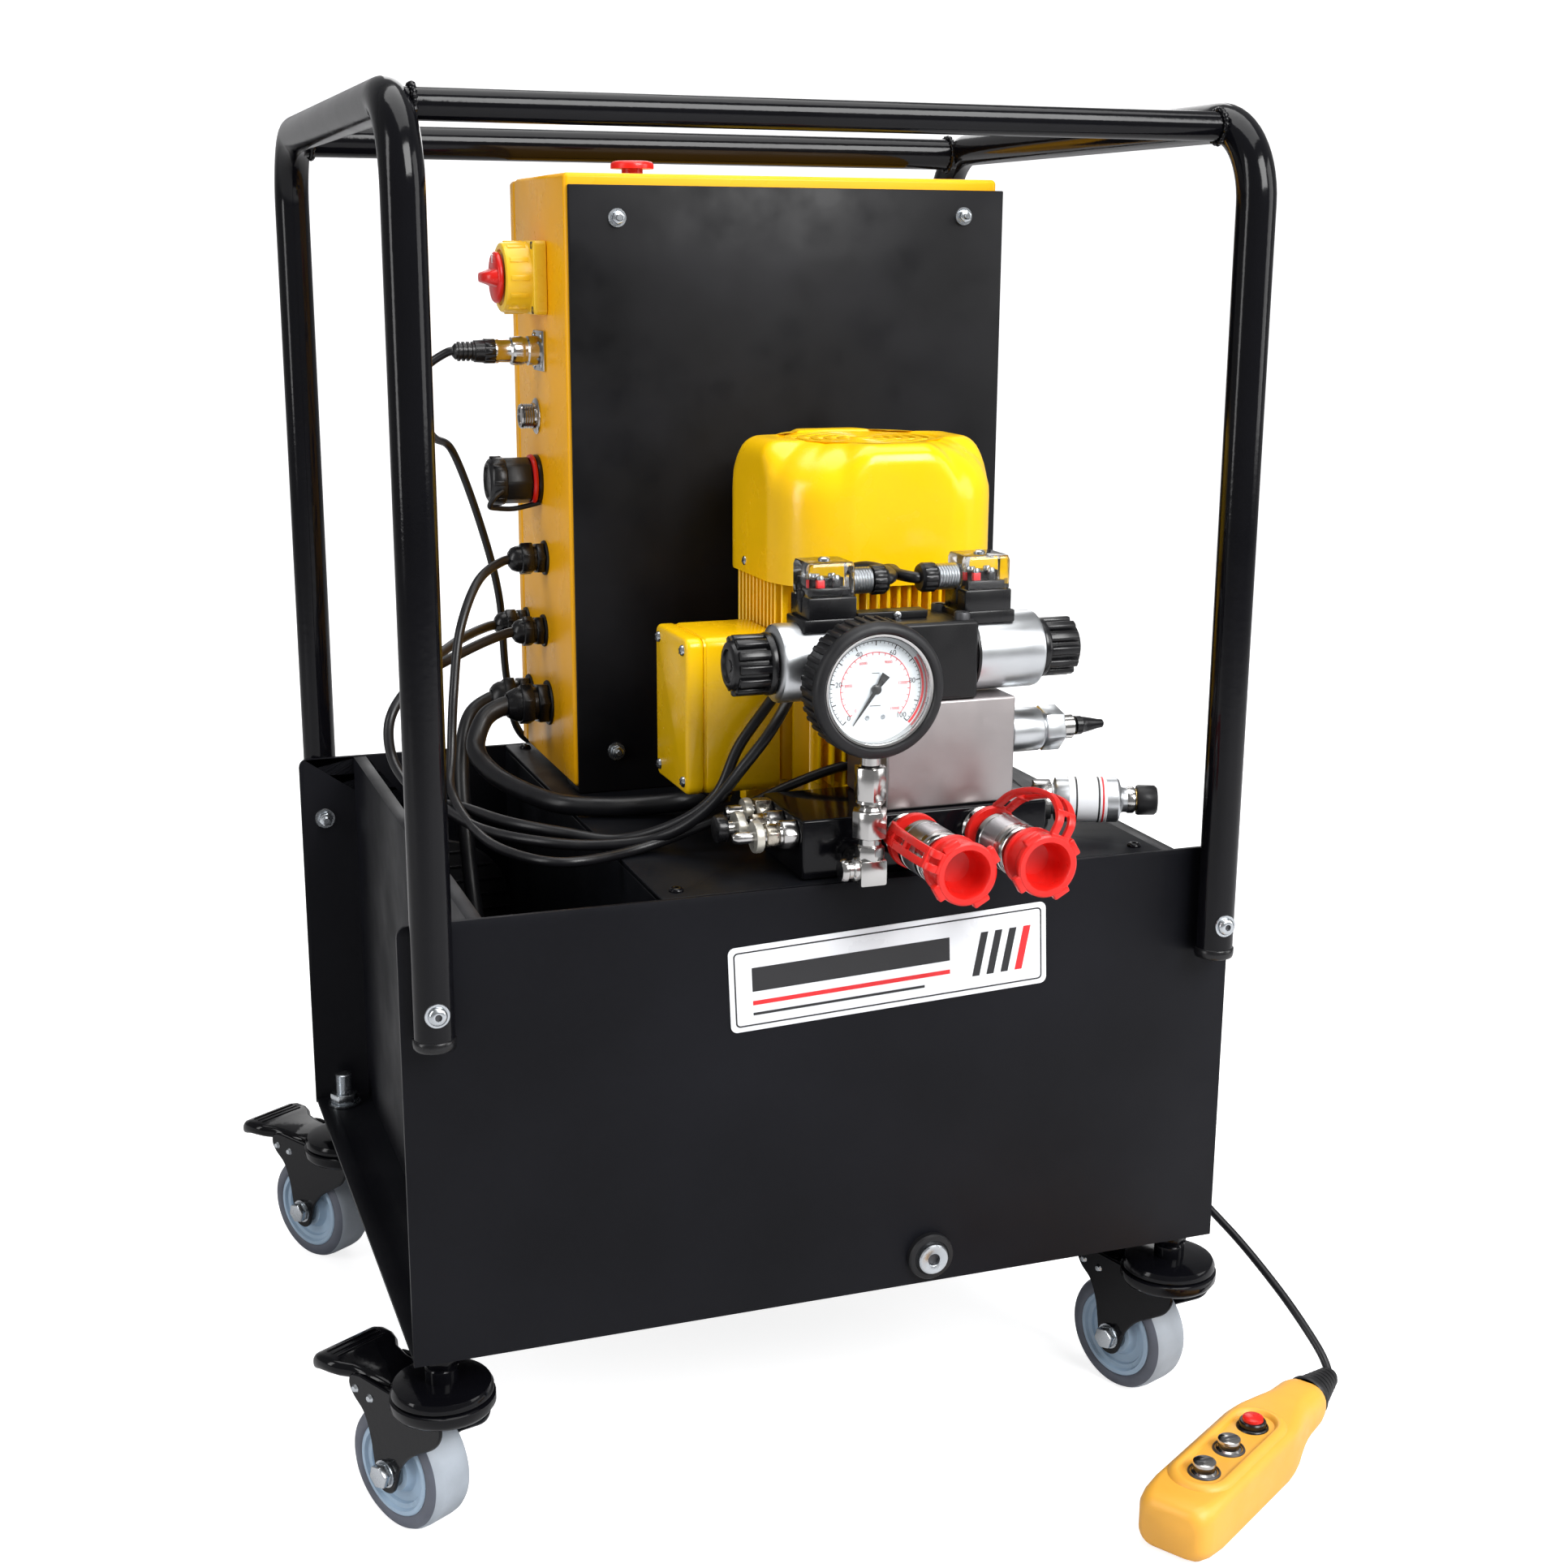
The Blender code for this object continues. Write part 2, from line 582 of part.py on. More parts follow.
def gauge():
    """Gauge case with an open front, the pointer inside it, and the stem down to the base."""
    centre = (GAUGE_X, 0, GAUGE_Z)
    front, back, dial = -GAUGE_Y0, -GAUGE_Y1, -DIAL_Y
    case = turned([
        (0, dial), (30, dial), (31, front), (GAUGE_R, front - 2), (GAUGE_R, back + 3),
        (GAUGE_R - 3, back), (0, back)], centre, FRONT, sides=24)
    part("gauge_case", case, black_rubber)

    pivot = (GAUGE_X, DIAL_Y - 2, GAUGE_Z)
    hub = rod(3, 1.4, pivot, FRONT, sides=12)
    blade = slab([(-1.4, 8), (1.4, 8), (0.5, -24), (-0.5, -24)], 0.8,
                 (GAUGE_X, pivot[1] - 0.7, GAUGE_Z), FRONT)
    lean = Matrix.Translation(Vector(pivot) * MM) @ Matrix.Rotation(math.radians(36), 4, "Y") @ \
        Matrix.Translation(-Vector(pivot) * MM)
    part("gauge_needle", moved(union(hub, blade), lean), black_plastic, pivot)

    at = (GAUGE_X, STEM_LINE_Y, 0)
    top = GAUGE_Z - GAUGE_R - GAP
    stem = turned([(0, top), (5, top), (5, 444), (8, 443), (8, 424), (6.5, 423), (6.5, 420),
                   (9.5, 419), (9.5, 402), (8.5, 401), (8.5, 380), (6, 377), (0, 377)], at)
    elbow = rod(7, BASE_Y0 - GAP - STEM_LINE_Y, (GAUGE_X, STEM_LINE_Y, 387), BACK)
    part("gauge_stem", union(stem, elbow), steel)


# ---------------------------------------------------------------- cabinet

def cabinet():
    """Sheet box open to the rear, its black mounting plate in front and its rear door."""
    body = box((CAB_X0, CAB_Y0, CAB_Z0), (CAB_X1, CAB_Y1, CAB_Z1), bevel=2.0, segments=1)
    room = box((CAB_X0 + CAB_WALL, CAB_Y0 + CAB_WALL, CAB_Z0 + CAB_WALL),
               (CAB_X1 - CAB_WALL, CAB_Y1 + 10, CAB_Z1 - CAB_WALL))
    button_hole = rod(7.5, 20, (ESTOP_X, ESTOP_Y, CAB_Z1 - 10), sides=16)
    part("cabinet_body", cut(body, room, button_hole), yellow_paint)

    plate_y = (CAB_Y0 - GAP - SHEET, CAB_Y0 - GAP)
    plate = box((CAB_X0 + 2, plate_y[0], DECK_Z), (CAB_X1 + 3.3, plate_y[1], CAB_Z1 - 7))
    flange = box((CAB_X1 + GAP, plate_y[0] + 1, DECK_Z), (CAB_X1 + 3.3, CAB_Y0 + 18, CAB_Z1 - 7))
    foot = box((CAB_X0 + 2, plate_y[1] - 1, DECK_Z), (CAB_X1 + 3.3, CAB_Y0 + 30, DECK_Z + SHEET))
    part("cabinet_plate", union(plate, flange, foot), black_sheet)

    hinge = (CAB_X1, CAB_Y1 + GAP, 0)
    low = (CAB_X0, hinge[1], CAB_Z0 + 1)
    high = (CAB_X1, hinge[1] + DOOR_T, CAB_Z1 - 1)
    panel = box(low, high, bevel=2.0, segments=1)
    hollow = box((low[0] + 2, low[1] - 5, low[2] + 2), (high[0] - 2, high[1] - 2, high[2] - 2))
    keyhole = rod(8.4, 30, (LOCK_X, CAB_Y1 - 5, LOCK_Z), BACK)
    door = part("cabinet_door", cut(panel, hollow, keyhole), yellow_paint, hinge)
    lock_at = (LOCK_X, high[1] - 5, LOCK_Z)
    lock = turned([(0, 7.5), (9, 7.5), (10, 6.5), (10, 5.3), (8, 5.3), (8, 0), (0, 0)], lock_at,
                  (0, 1, 0))
    cam = box((LOCK_X - 4, lock_at[1] - 2, LOCK_Z - 4), (LOCK_X + 4, lock_at[1] + 1, LOCK_Z + 22))
    part("door_lock", union(lock, cam), zinc, lock_at, door)


def cabinet_controls():
    """Main isolator on the left side and the red stop button on top."""
    face = CAB_X0 - GAP
    plate = box((face - 8, ISO_Y - 24, ISO_Z - 23), (face, ISO_Y + 24, ISO_Z + 23), bevel=2.0)
    collar = rod(22, 17.5, (face - 7.9, ISO_Y, ISO_Z), LEFT, sides=24)
    part("isolator_base", union(plate, collar), yellow_paint)
    pivot = (face - 25.8, ISO_Y, ISO_Z)
    disc = turned([(0, 3.5), (15, 3.5), (16, 2.5), (16, 0), (0, 0)], pivot, LEFT)
    grip = box((pivot[0] - 12.5, ISO_Y - 15, ISO_Z - 3.5), (pivot[0] - 2, ISO_Y + 15, ISO_Z + 3.5),
               bevel=1.5, segments=1)
    part("isolator_knob", union(disc, grip), red_plastic, pivot)

    pivot = (ESTOP_X, ESTOP_Y, CAB_Z1 + 4.5)
    button = turned([(0, 5), (11, 5), (13.2, 4), (13.8, 2.6), (13.8, 0), (6.8, 0),
                     (6.8, -16), (0, -16)], pivot)
    part("stop_button", button, red_plastic, pivot)


# ---------------------------------------------------------------- fan and pendant

def cooling_fan():
    """Round axial fan behind the bay, blowing through the opening in the back panel."""
    at = (FAN_X, FAN_Y0, FAN_Z)
    depth = FAN_Y1 - FAN_Y0
    frame = ring(FAN_R, FAN_R - 6, depth, at, BACK, sides=24)
    hub = rod(24, 8, (FAN_X, FAN_Y1 - 8, FAN_Z), BACK)
    struts = []
    for k in range(3):
        strut = box((FAN_X, FAN_Y1 - 6, FAN_Z - 4), (FAN_X + FAN_R - 2, FAN_Y1 - 2, FAN_Z + 4))
        centre = Vector((FAN_X, 0, FAN_Z)) * MM
        spin = Matrix.Rotation(math.radians(30 + 120 * k), 4, "Y")
        struts.append(moved(strut, Matrix.Translation(centre) @ spin @ Matrix.Translation(-centre)))
    part("fan_frame", union(frame, hub, *struts), black_plastic)

    pivot = (FAN_X, FAN_Y0 + 6, FAN_Z)
    wheel = rod(26, 22, pivot, BACK)
    blades = []
    for k in range(5):
        blade = box((18, -13, -1.2), (FAN_R - 10, 13, 1.2))
        pitch = Matrix.Rotation(math.radians(38), 4, "X")
        spin = Matrix.Rotation(math.radians(72 * k), 4, "Y")
        lift = Matrix.Translation(Vector((FAN_X, pivot[1] + 11, FAN_Z)) * MM)
        blades.append(moved(blade, lift @ spin @ pitch))
    part("fan_rotor", union(wheel, *blades), black_plastic, pivot)


def pendant():
    """Hand control lying on its back: a tapered housing with three push buttons."""
    place = Matrix.Translation(Vector((*PENDANT_TIP, 0)) * MM) @ \
        Matrix.Rotation(math.radians(PENDANT_ANGLE), 4, "Z")
    half = PENDANT_W / 2
    outline = filleted([
        ((0, -half), 8), ((122, -half), 16), ((158, -16), 10), ((PENDANT_L, -14.5), 5),
        ((PENDANT_L, 14.5), 5), ((158, 16), 10), ((122, half), 16), ((0, half), 8)], steps=3)
    body = slab(outline, PENDANT_H, (0, 0, PENDANT_H / 2))
    wells = [rod(8.6, 20, (s, 0, PENDANT_H - 14)) for s in BUTTON_AT.values()]
    part("pendant_housing", moved(cut(body, *wells), place), yellow_plastic)
    for name, along in BUTTON_AT.items():
        at = Vector((along, 0, PENDANT_H - 10.5))
        pivot = place @ (at * MM) / MM
        button = turned([(0, 15), (7, 15), (8, 14), (8, 0), (0, 0)], pivot)
        part(f"pendant_{name}", button, red_plastic if name == "stop" else steel, pivot)


clear_scene()
unit = collection("hydraulic_power_unit")
workshop = collection("workshop")

black_sheet = paint("black_sheet", (0.02, 0.02, 0.022), 0.4)
gloss_black = paint("gloss_black", (0.012, 0.012, 0.013), 0.15)
black_cast = paint("black_cast", (0.03, 0.03, 0.03), 0.5)
black_plastic = paint("black_plastic", (0.02, 0.02, 0.02), 0.4)
black_rubber = paint("black_rubber", (0.025, 0.025, 0.025), 0.6)
yellow_paint = paint("yellow_paint", (0.95, 0.62, 0.01), 0.3)
yellow_plastic = paint("yellow_plastic", (0.85, 0.5, 0.05), 0.45)
red_plastic = paint("red_plastic", (0.75, 0.03, 0.02), 0.35)
steel = paint("steel", (0.6, 0.6, 0.6), 0.3, 1.0)
zinc = paint("zinc", (0.7, 0.72, 0.75), 0.25, 1.0)
cast_iron = paint("cast_iron", (0.2, 0.2, 0.21), 0.6, 0.6)
grey_tread = paint("grey_tread", (0.45, 0.46, 0.48), 0.55)

chassis_tray()
oil_tank()
roll_cage()
casters()
motor()
manifold()
side_fittings()
couplers()
gauge()
cabinet()
cabinet_controls()
cooling_fan()
pendant()
centre_on_origin()
bpy.data.collections.remove(workshop)
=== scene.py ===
"""Looks of a hydraulic power unit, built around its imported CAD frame.

Shapes are drawn in millimetres from the floor under the tray's centre, with +X right along
the front panel, +Y back and +Z up, and become metres when a piece is finished.
"""
import math

import bmesh
import bpy
from mathutils import Matrix, Vector


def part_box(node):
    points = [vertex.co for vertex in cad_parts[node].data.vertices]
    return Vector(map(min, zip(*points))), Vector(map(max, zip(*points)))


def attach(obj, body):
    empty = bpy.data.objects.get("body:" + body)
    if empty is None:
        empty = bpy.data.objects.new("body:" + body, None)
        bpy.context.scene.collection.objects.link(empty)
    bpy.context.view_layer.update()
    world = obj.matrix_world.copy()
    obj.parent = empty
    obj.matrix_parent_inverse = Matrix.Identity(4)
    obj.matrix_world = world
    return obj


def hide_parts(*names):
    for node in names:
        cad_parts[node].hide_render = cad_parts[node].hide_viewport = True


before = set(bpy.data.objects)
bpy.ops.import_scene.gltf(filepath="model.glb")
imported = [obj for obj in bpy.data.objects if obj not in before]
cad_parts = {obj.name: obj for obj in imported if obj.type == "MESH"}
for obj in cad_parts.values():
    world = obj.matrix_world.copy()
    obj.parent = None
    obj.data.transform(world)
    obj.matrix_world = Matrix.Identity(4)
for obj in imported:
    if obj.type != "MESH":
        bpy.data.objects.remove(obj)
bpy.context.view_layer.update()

MM = 0.001
UP, DOWN = (0, 0, 1), (0, 0, -1)
LEFT, RIGHT = (-1, 0, 0), (1, 0, 0)
FRONT, BACK = (0, -1, 0), (0, 1, 0)
ROOT = "chassis"


def tray_centre():
    low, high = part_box("chassis_tray")
    return Vector(((low[0] + high[0]) / 2, (low[1] + high[1]) / 2, 0.0))


CENTRE = tray_centre()
TO_WORLD = Matrix.Translation(CENTRE) @ Matrix.Scale(MM, 4)


def span(node):
    """A CAD node's lowest and highest corners in drawing millimetres."""
    low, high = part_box(node)
    return (Vector(low) - CENTRE) / MM, (Vector(high) - CENTRE) / MM


def middle(node):
    low, high = span(node)
    return (low + high) / 2


# ---------------------------------------------------------------- shapes

def placed(at, axis, spin):
    """Puts a shape's own Z along an axis from a point, turned about it by spin degrees."""
    turn = Matrix.Rotation(math.radians(spin), 4, "Z")
    if axis != UP:
        turn = Vector(axis).to_track_quat("Z", "Y").to_matrix().to_4x4() @ turn
    return Matrix.Translation(Vector(at)) @ turn


def lathe(profile, sides):
    """A turned shape from (radius, height) points; a profile that returns to its start is a ring."""
    shape = bmesh.new()
    rings = []
    for radius, height in profile:
        if radius < 1e-6:
            rings.append([shape.verts.new((0, 0, height))])
            continue
        angles = [2 * math.pi * i / sides for i in range(sides)]
        rings.append([shape.verts.new((radius * math.cos(a), radius * math.sin(a), height))
                      for a in angles])
    closed = profile[0] == profile[-1] and profile[0][0] > 0
    if closed:
        for vert in rings.pop():
            shape.verts.remove(vert)
        rings.append(rings[0])
    for near, far in zip(rings, rings[1:]):
        for i in range(sides):
            j = (i + 1) % sides
            corners = [near[i % len(near)], near[j % len(near)], far[j % len(far)], far[i % len(far)]]
            corners = list(dict.fromkeys(corners))
            if len(corners) > 2:
                shape.faces.new(corners)
    bmesh.ops.recalc_face_normals(shape, faces=shape.faces)
    return shape


def bevelled(shape, width, segments, angle=30):
    edges = [e for e in shape.edges
             if len(e.link_faces) == 2 and e.calc_face_angle(0) > math.radians(angle)]
    bmesh.ops.bevel(shape, geom=edges, offset=width, segments=segments, profile=0.5,
                    affect="EDGES", clamp_overlap=True)
    return shape


def block(low, high, bevel=0.0, segments=2):
    shape = bmesh.new()
    low, high = Vector(low), Vector(high)
    bmesh.ops.create_cube(shape, size=1.0)
    bmesh.ops.scale(shape, vec=high - low, verts=shape.verts)
    bmesh.ops.translate(shape, vec=(high + low) / 2, verts=shape.verts)
    return bevelled(shape, bevel, segments) if bevel else shape


def loft(rings, caps=True):
    """A skin over rings of equally many points."""
    shape = bmesh.new()
    loops = [[shape.verts.new(point) for point in ring] for ring in rings]
    for near, far in zip(loops, loops[1:]):
        for i in range(len(near)):
            shape.faces.new((near[i - 1], near[i], far[i], far[i - 1]))
    if caps:
        shape.faces.new(list(reversed(loops[0])))
        shape.faces.new(loops[-1])
    bmesh.ops.recalc_face_normals(shape, faces=shape.faces)
    return shape


def prism(outline, low, high, bevel=0.0, segments=2):
    """An outline of 2-D points made solid between two heights."""
    shape = loft([[(x, y, height) for x, y in outline] for height in (low, high)])
    return bevelled(shape, bevel, segments) if bevel else shape


def circle(radius, sides):
    angles = [2 * math.pi * i / sides for i in range(sides)]
    return [(radius * math.cos(a), radius * math.sin(a)) for a in angles]


def hexagon(across_flats):
    return circle(across_flats / 2 / math.cos(math.pi / 6), 6)


def ribs(count, outer, inner):
    """The outline of a knob with evenly spaced ribs, each half its pitch wide."""
    half, slope = 0.25, 0.12
    points = []
    for rib in range(count):
        for place, radius in ((-half, outer), (half, outer),
                              (half + slope, inner), (1 - half - slope, inner)):
            angle = 2 * math.pi * (rib + place) / count
            points.append((radius * math.cos(angle), radius * math.sin(angle)))
    return points


def rounded(width, depth, radius, steps=6):
    """A rounded rectangle about the origin."""
    points = []
    for corner, (sx, sy) in enumerate(((1, 1), (-1, 1), (-1, -1), (1, -1))):
        for k in range(steps + 1):
            angle = math.pi / 2 * (corner + k / steps)
            points.append((sx * (width / 2 - radius) + radius * math.cos(angle),
                           sy * (depth / 2 - radius) + radius * math.sin(angle)))
    return points


def smooth_path(points, steps):
    """A soft curve through points."""
    points = [Vector(p) for p in points]
    ends = [points[0] * 2 - points[1]] + points + [points[-1] * 2 - points[-2]]
    path = []
    for i in range(len(points) - 1):
        a, b, c, d = ends[i:i + 4]
        for k in range(steps):
            t = k / steps
            path.append(0.5 * (2 * b + (c - a) * t + (2 * a - 5 * b + 4 * c - d) * t ** 2
                               + (3 * b - a - 3 * c + d) * t ** 3))
    return path + [points[-1]]


def pipe(path, radius, sides, caps=True):
    """A round bar along a path."""
    path = [Vector(p) for p in path]
    rings = []
    side = None
    for i, point in enumerate(path):
        ahead = path[min(i + 1, len(path) - 1)] - path[max(i - 1, 0)]
        ahead.normalize()
        if side is None:
            side = ahead.orthogonal().normalized()
        side = (side - ahead * side.dot(ahead)).normalized()
        other = ahead.cross(side)
        rings.append([point + side * x + other * y for x, y in circle(radius, sides)])
    return loft(rings, caps)


def bend(corners, steps):
    """A path whose corners (point, radius) are rounded."""
    path = []
    for i, (corner, radius) in enumerate(corners):
        corner = Vector(corner)
        if not radius:
            path.append(corner)
            continue
        before = (Vector(corners[i - 1][0]) - corner).normalized()
        after = (Vector(corners[i + 1][0]) - corner).normalized()
        half = before.angle(after) / 2
        centre = corner + (before + after).normalized() * radius / math.sin(half)
        first = (corner + before * radius / math.tan(half) - centre).normalized()
        last = (corner + after * radius / math.tan(half) - centre).normalized()
        path += [centre + first.slerp(last, k / steps) * radius for k in range(steps + 1)]
    return path


def knurled(radius, low, high, around, depth):
    """A band of small diamond points."""
    rows = max(3, round((high - low) / (2 * math.pi * radius / around) * 1.2))
    rings = []
    for row in range(rows + 1):
        edge = row in (0, rows)
        ring = []
        for i in range(around):
            angle = 2 * math.pi * i / around
            reach = radius - depth if edge or (i + row) % 2 else radius
            ring.append((reach * math.cos(angle), reach * math.sin(angle),
                         low + (high - low) * row / rows))
        rings.append(ring)
    return loft(rings)


class Piece:
    """One visible piece in the making. Parts are drawn in the piece's own millimetres."""

    def __init__(self, at=(0, 0, 0), axis=UP, spin=0.0, within=None):
        self.place = placed(at, axis, spin)
        if within:
            self.place = within @ self.place
        self.mesh = bmesh.new()
        self.paints = []

    def add(self, shape, paint, at=(0, 0, 0), axis=UP, spin=0.0):
        if paint not in self.paints:
            self.paints.append(paint)
        for face in shape.faces:
            face.material_index = self.paints.index(paint)
        shape.transform(self.place @ placed(at, axis, spin))
        held = bpy.data.meshes.new("held")
        shape.to_mesh(held)
        shape.free()
        self.mesh.from_mesh(held)
        bpy.data.meshes.remove(held)

    def done(self, name, angle=35, body=ROOT, stands_for=()):
        """Makes the piece's object, riding a body and hiding the CAD nodes that it stands for."""
        mesh = bpy.data.meshes.new(name)
        self.mesh.transform(TO_WORLD)
        self.mesh.to_mesh(mesh)
        self.mesh.free()
        for paint in self.paints:
            mesh.materials.append(paint)
        mesh.shade_smooth()
        mesh.set_sharp_from_angle(angle=math.radians(angle))
        obj = bpy.data.objects.new(name, mesh)
        bpy.context.scene.collection.objects.link(obj)
        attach(obj, body)
        if stands_for:
            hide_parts(*stands_for)

    def stand_in(self, node, angle=35, moves=False):
        """Finishes the piece in a CAD node's place; one that moves rides the node's own body."""
        self.done(node + "_finished", angle, node if moves else ROOT, (node,))


def softened(node, paint, width, segments=2, body=ROOT):
    """A CAD node again, with its edges rounded as the real sheet's or casting's are."""
    shape = bmesh.new()
    shape.from_mesh(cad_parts[node].data)
    bmesh.ops.remove_doubles(shape, verts=shape.verts, dist=2e-6)
    bmesh.ops.dissolve_limit(shape, angle_limit=0.02, verts=shape.verts, edges=shape.edges)
    shape.transform(TO_WORLD.inverted())
    bevelled(shape, width, segments)
    piece = Piece()
    piece.add(shape, paint)
    piece.done(node + "_finished", body=body, stands_for=(node,))


# ---------------------------------------------------------------- materials

class Nodes:
    """A short hand for building one material's nodes."""

    def __init__(self, name):
        self.material = bpy.data.materials.new(name)
        self.material.use_nodes = True
        self.tree = self.material.node_tree
        self.shader = self.tree.nodes["Principled BSDF"]
        self.coords = self.tree.nodes.new("ShaderNodeTexCoord").outputs["Object"]

    def node(self, kind, inputs=(), **settings):
        made = self.tree.nodes.new("ShaderNode" + kind)
        for key, value in settings.items():
            setattr(made, key, value)
        for key, value in dict(inputs).items():
            if isinstance(value, bpy.types.NodeSocket):
                self.tree.links.new(value, made.inputs[key])
            else:
                made.inputs[key].default_value = value
        return made

    def noise(self, scale, detail=3.0):
        """Noise whose scale is in features per metre."""
        made = self.node("TexNoise", {"Vector": self.coords, "Scale": scale, "Detail": detail})
        return made.outputs["Fac"]

    def between(self, value, low, high, out_low=0.0, out_high=1.0):
        made = self.node("MapRange", {"Value": value, "From Min": low, "From Max": high,
                                      "To Min": out_low, "To Max": out_high})
        return made.outputs["Result"]

    def mix(self, amount, first, second):
        made = self.node("Mix", data_type="RGBA")
        self.set(made.inputs[0], amount)
        self.set(made.inputs[6], first)
        self.set(made.inputs[7], second)
        return made.outputs[2]

    def set(self, socket, value):
        if isinstance(value, bpy.types.NodeSocket):
            self.tree.links.new(value, socket)
        else:
            socket.default_value = value

    def put(self, name, value):
        self.set(self.shader.inputs[name], value)

    def bump(self, height, depth_mm):
        made = self.node("Bump", {"Height": height, "Strength": 1.0, "Distance": depth_mm * MM})
        return made.outputs["Normal"]

    def edges(self, radius_mm):
        """1 on sharp edges, 0 on flats."""
        sharp, flat = 0.75, 0.97
        soft = self.node("Bevel", {"Radius": radius_mm * MM}, samples=4).outputs["Normal"]
        plain = self.node("NewGeometry").outputs["Normal"]
        dot = self.node("VectorMath", {0: soft, 1: plain}, operation="DOT_PRODUCT")
        return self.between(dot.outputs["Value"], sharp, flat, 1.0, 0.0)


def rgba(colour, level=1.0):
    return (colour[0] * level, colour[1] * level, colour[2] * level, 1.0)


def finish(name, colour, rough, metallic=0.0, mottle=0.12, patch=14.0, grain=900.0,
           grain_mm=0.02, wear=0.0, wear_colour=(0.5, 0.5, 0.5), spread=0.08, specular=0.5):
    """A surface with soft colour patches, a fine grain, uneven gloss and rubbed edges."""
    n = Nodes(name)
    broad = n.between(n.noise(patch, 4.0), 0.3, 0.7)
    tint = n.mix(broad, rgba(colour, 1 - mottle), rgba(colour, 1 + mottle))
    if wear:
        rubbed = n.node("Math", {0: n.edges(0.8), 1: n.between(n.noise(160.0), 0.45, 0.7, 0.0, wear)},
                        operation="MULTIPLY").outputs["Value"]
        tint = n.mix(rubbed, tint, rgba(wear_colour))
    n.put("Base Color", tint)
    n.put("Metallic", metallic)
    n.put("Specular IOR Level", specular)
    fine = n.noise(grain, 2.0)
    n.put("Roughness", n.between(n.noise(patch * 3, 5.0), 0.3, 0.7, rough - spread, rough + spread))
    n.put("Normal", n.bump(fine, grain_mm))
    return n.material


def clear(name, colour, rough):
    """A see-through plastic or glass that lets light through to what is behind it."""
    n = Nodes(name)
    n.put("Base Color", n.mix(n.noise(60.0), rgba(colour), rgba(colour, 0.96)))
    n.put("Roughness", n.between(n.noise(200.0), 0.3, 0.7, rough, rough + 0.05))
    n.put("Transmission Weight", 1.0)
    n.put("IOR", 1.46)
    shadow = n.node("LightPath").outputs["Is Shadow Ray"]
    n.put("Alpha", n.between(shadow, 0, 1, 1.0, 0.08))
    return n.material


BLACK_SHEET = finish("black_powder_coat", (0.0055, 0.0057, 0.0078), 0.42, mottle=0.3, patch=7.0,
                     grain=1500.0, grain_mm=0.02, wear=0.06, wear_colour=(0.05, 0.05, 0.055),
                     specular=0.12)
BLACK_INNER = finish("black_tank_coat", (0.0048, 0.0052, 0.0070), 0.40, mottle=0.3, patch=9.0,
                     grain=1300.0, grain_mm=0.03, wear=0.05, wear_colour=(0.05, 0.05, 0.05),
                     specular=0.16)
BLACK_GLOSS = finish("black_gloss_enamel", (0.0030, 0.0030, 0.0042), 0.12, mottle=0.2, patch=10.0,
                     grain=260.0, grain_mm=0.05, spread=0.04, specular=0.22)
BLACK_PANEL = finish("black_panel_paint", (0.0050, 0.0050, 0.0062), 0.42, mottle=0.6, patch=11.0,
                     grain=1800.0, grain_mm=0.015, spread=0.12, specular=0.16)
BLACK_CAST = finish("black_valve_paint", (0.006, 0.006, 0.0068), 0.36, grain=1000.0, grain_mm=0.05,
                    wear=0.08, wear_colour=(0.06, 0.06, 0.06), specular=0.3)
BLACK_PLASTIC = finish("black_moulded_plastic", (0.0065, 0.0065, 0.0075), 0.28, grain=2200.0,
                       grain_mm=0.015, wear=0.04, wear_colour=(0.04, 0.04, 0.04), specular=0.4)
BLACK_RUBBER = finish("black_boot_rubber", (0.0085, 0.0085, 0.0098), 0.46, grain=1800.0,
                      grain_mm=0.03, patch=30.0, specular=0.35)
CABLE_BLACK = finish("cable_sheath", (0.0070, 0.0070, 0.0085), 0.36, grain=1400.0, grain_mm=0.03,
                     patch=25.0, specular=0.4)
YELLOW_SHEET = finish("yellow_powder_coat", (0.96, 0.45, 0.004), 0.30, mottle=0.05, patch=8.0,
                      grain=1100.0, grain_mm=0.04, wear=0.05, wear_colour=(0.5, 0.3, 0.02),
                      specular=0.2)
YELLOW_ENAMEL = finish("yellow_motor_enamel", (0.96, 0.56, 0.001), 0.24, mottle=0.04, patch=14.0,
                       grain=420.0, grain_mm=0.06, wear=0.03, wear_colour=(0.6, 0.35, 0.02),
                       specular=0.45)
YELLOW_PLASTIC = finish("yellow_moulded_plastic", (0.95, 0.60, 0.02), 0.32, mottle=0.04,
                        grain=1500.0, grain_mm=0.02)
PENDANT_YELLOW = finish("pendant_plastic", (0.80, 0.39, 0.045), 0.42, mottle=0.06, patch=20.0,
                        grain=1300.0, grain_mm=0.05)
RED_PLASTIC = finish("red_moulded_plastic", (0.66, 0.010, 0.006), 0.28, mottle=0.06, grain=900.0,
                     grain_mm=0.01)
RED_SOFT = finish("red_soft_plastic", (0.68, 0.012, 0.008), 0.34, mottle=0.08, patch=40.0,
                  grain=500.0, grain_mm=0.03)
GREY_TREAD = finish("grey_tread_rubber", (0.36, 0.40, 0.45), 0.50, mottle=0.16, patch=30.0,
                    grain=1300.0, grain_mm=0.05)
DARK_TREAD = finish("dark_sidewall_rubber", (0.095, 0.105, 0.135), 0.48, mottle=0.2, patch=40.0,
                    grain=1300.0, grain_mm=0.05)
BLUE_HUB = finish("pale_hub_plastic", (0.34, 0.46, 0.59), 0.34, mottle=0.08, patch=40.0,
                  grain=1200.0, grain_mm=0.03)
LABEL_WHITE = finish("white_print_plate", (0.84, 0.86, 0.89), 0.32, mottle=0.03, grain=600.0,
                     grain_mm=0.008)
LABEL_BLACK = finish("black_print", (0.012, 0.012, 0.014), 0.35, grain=600.0, grain_mm=0.008)
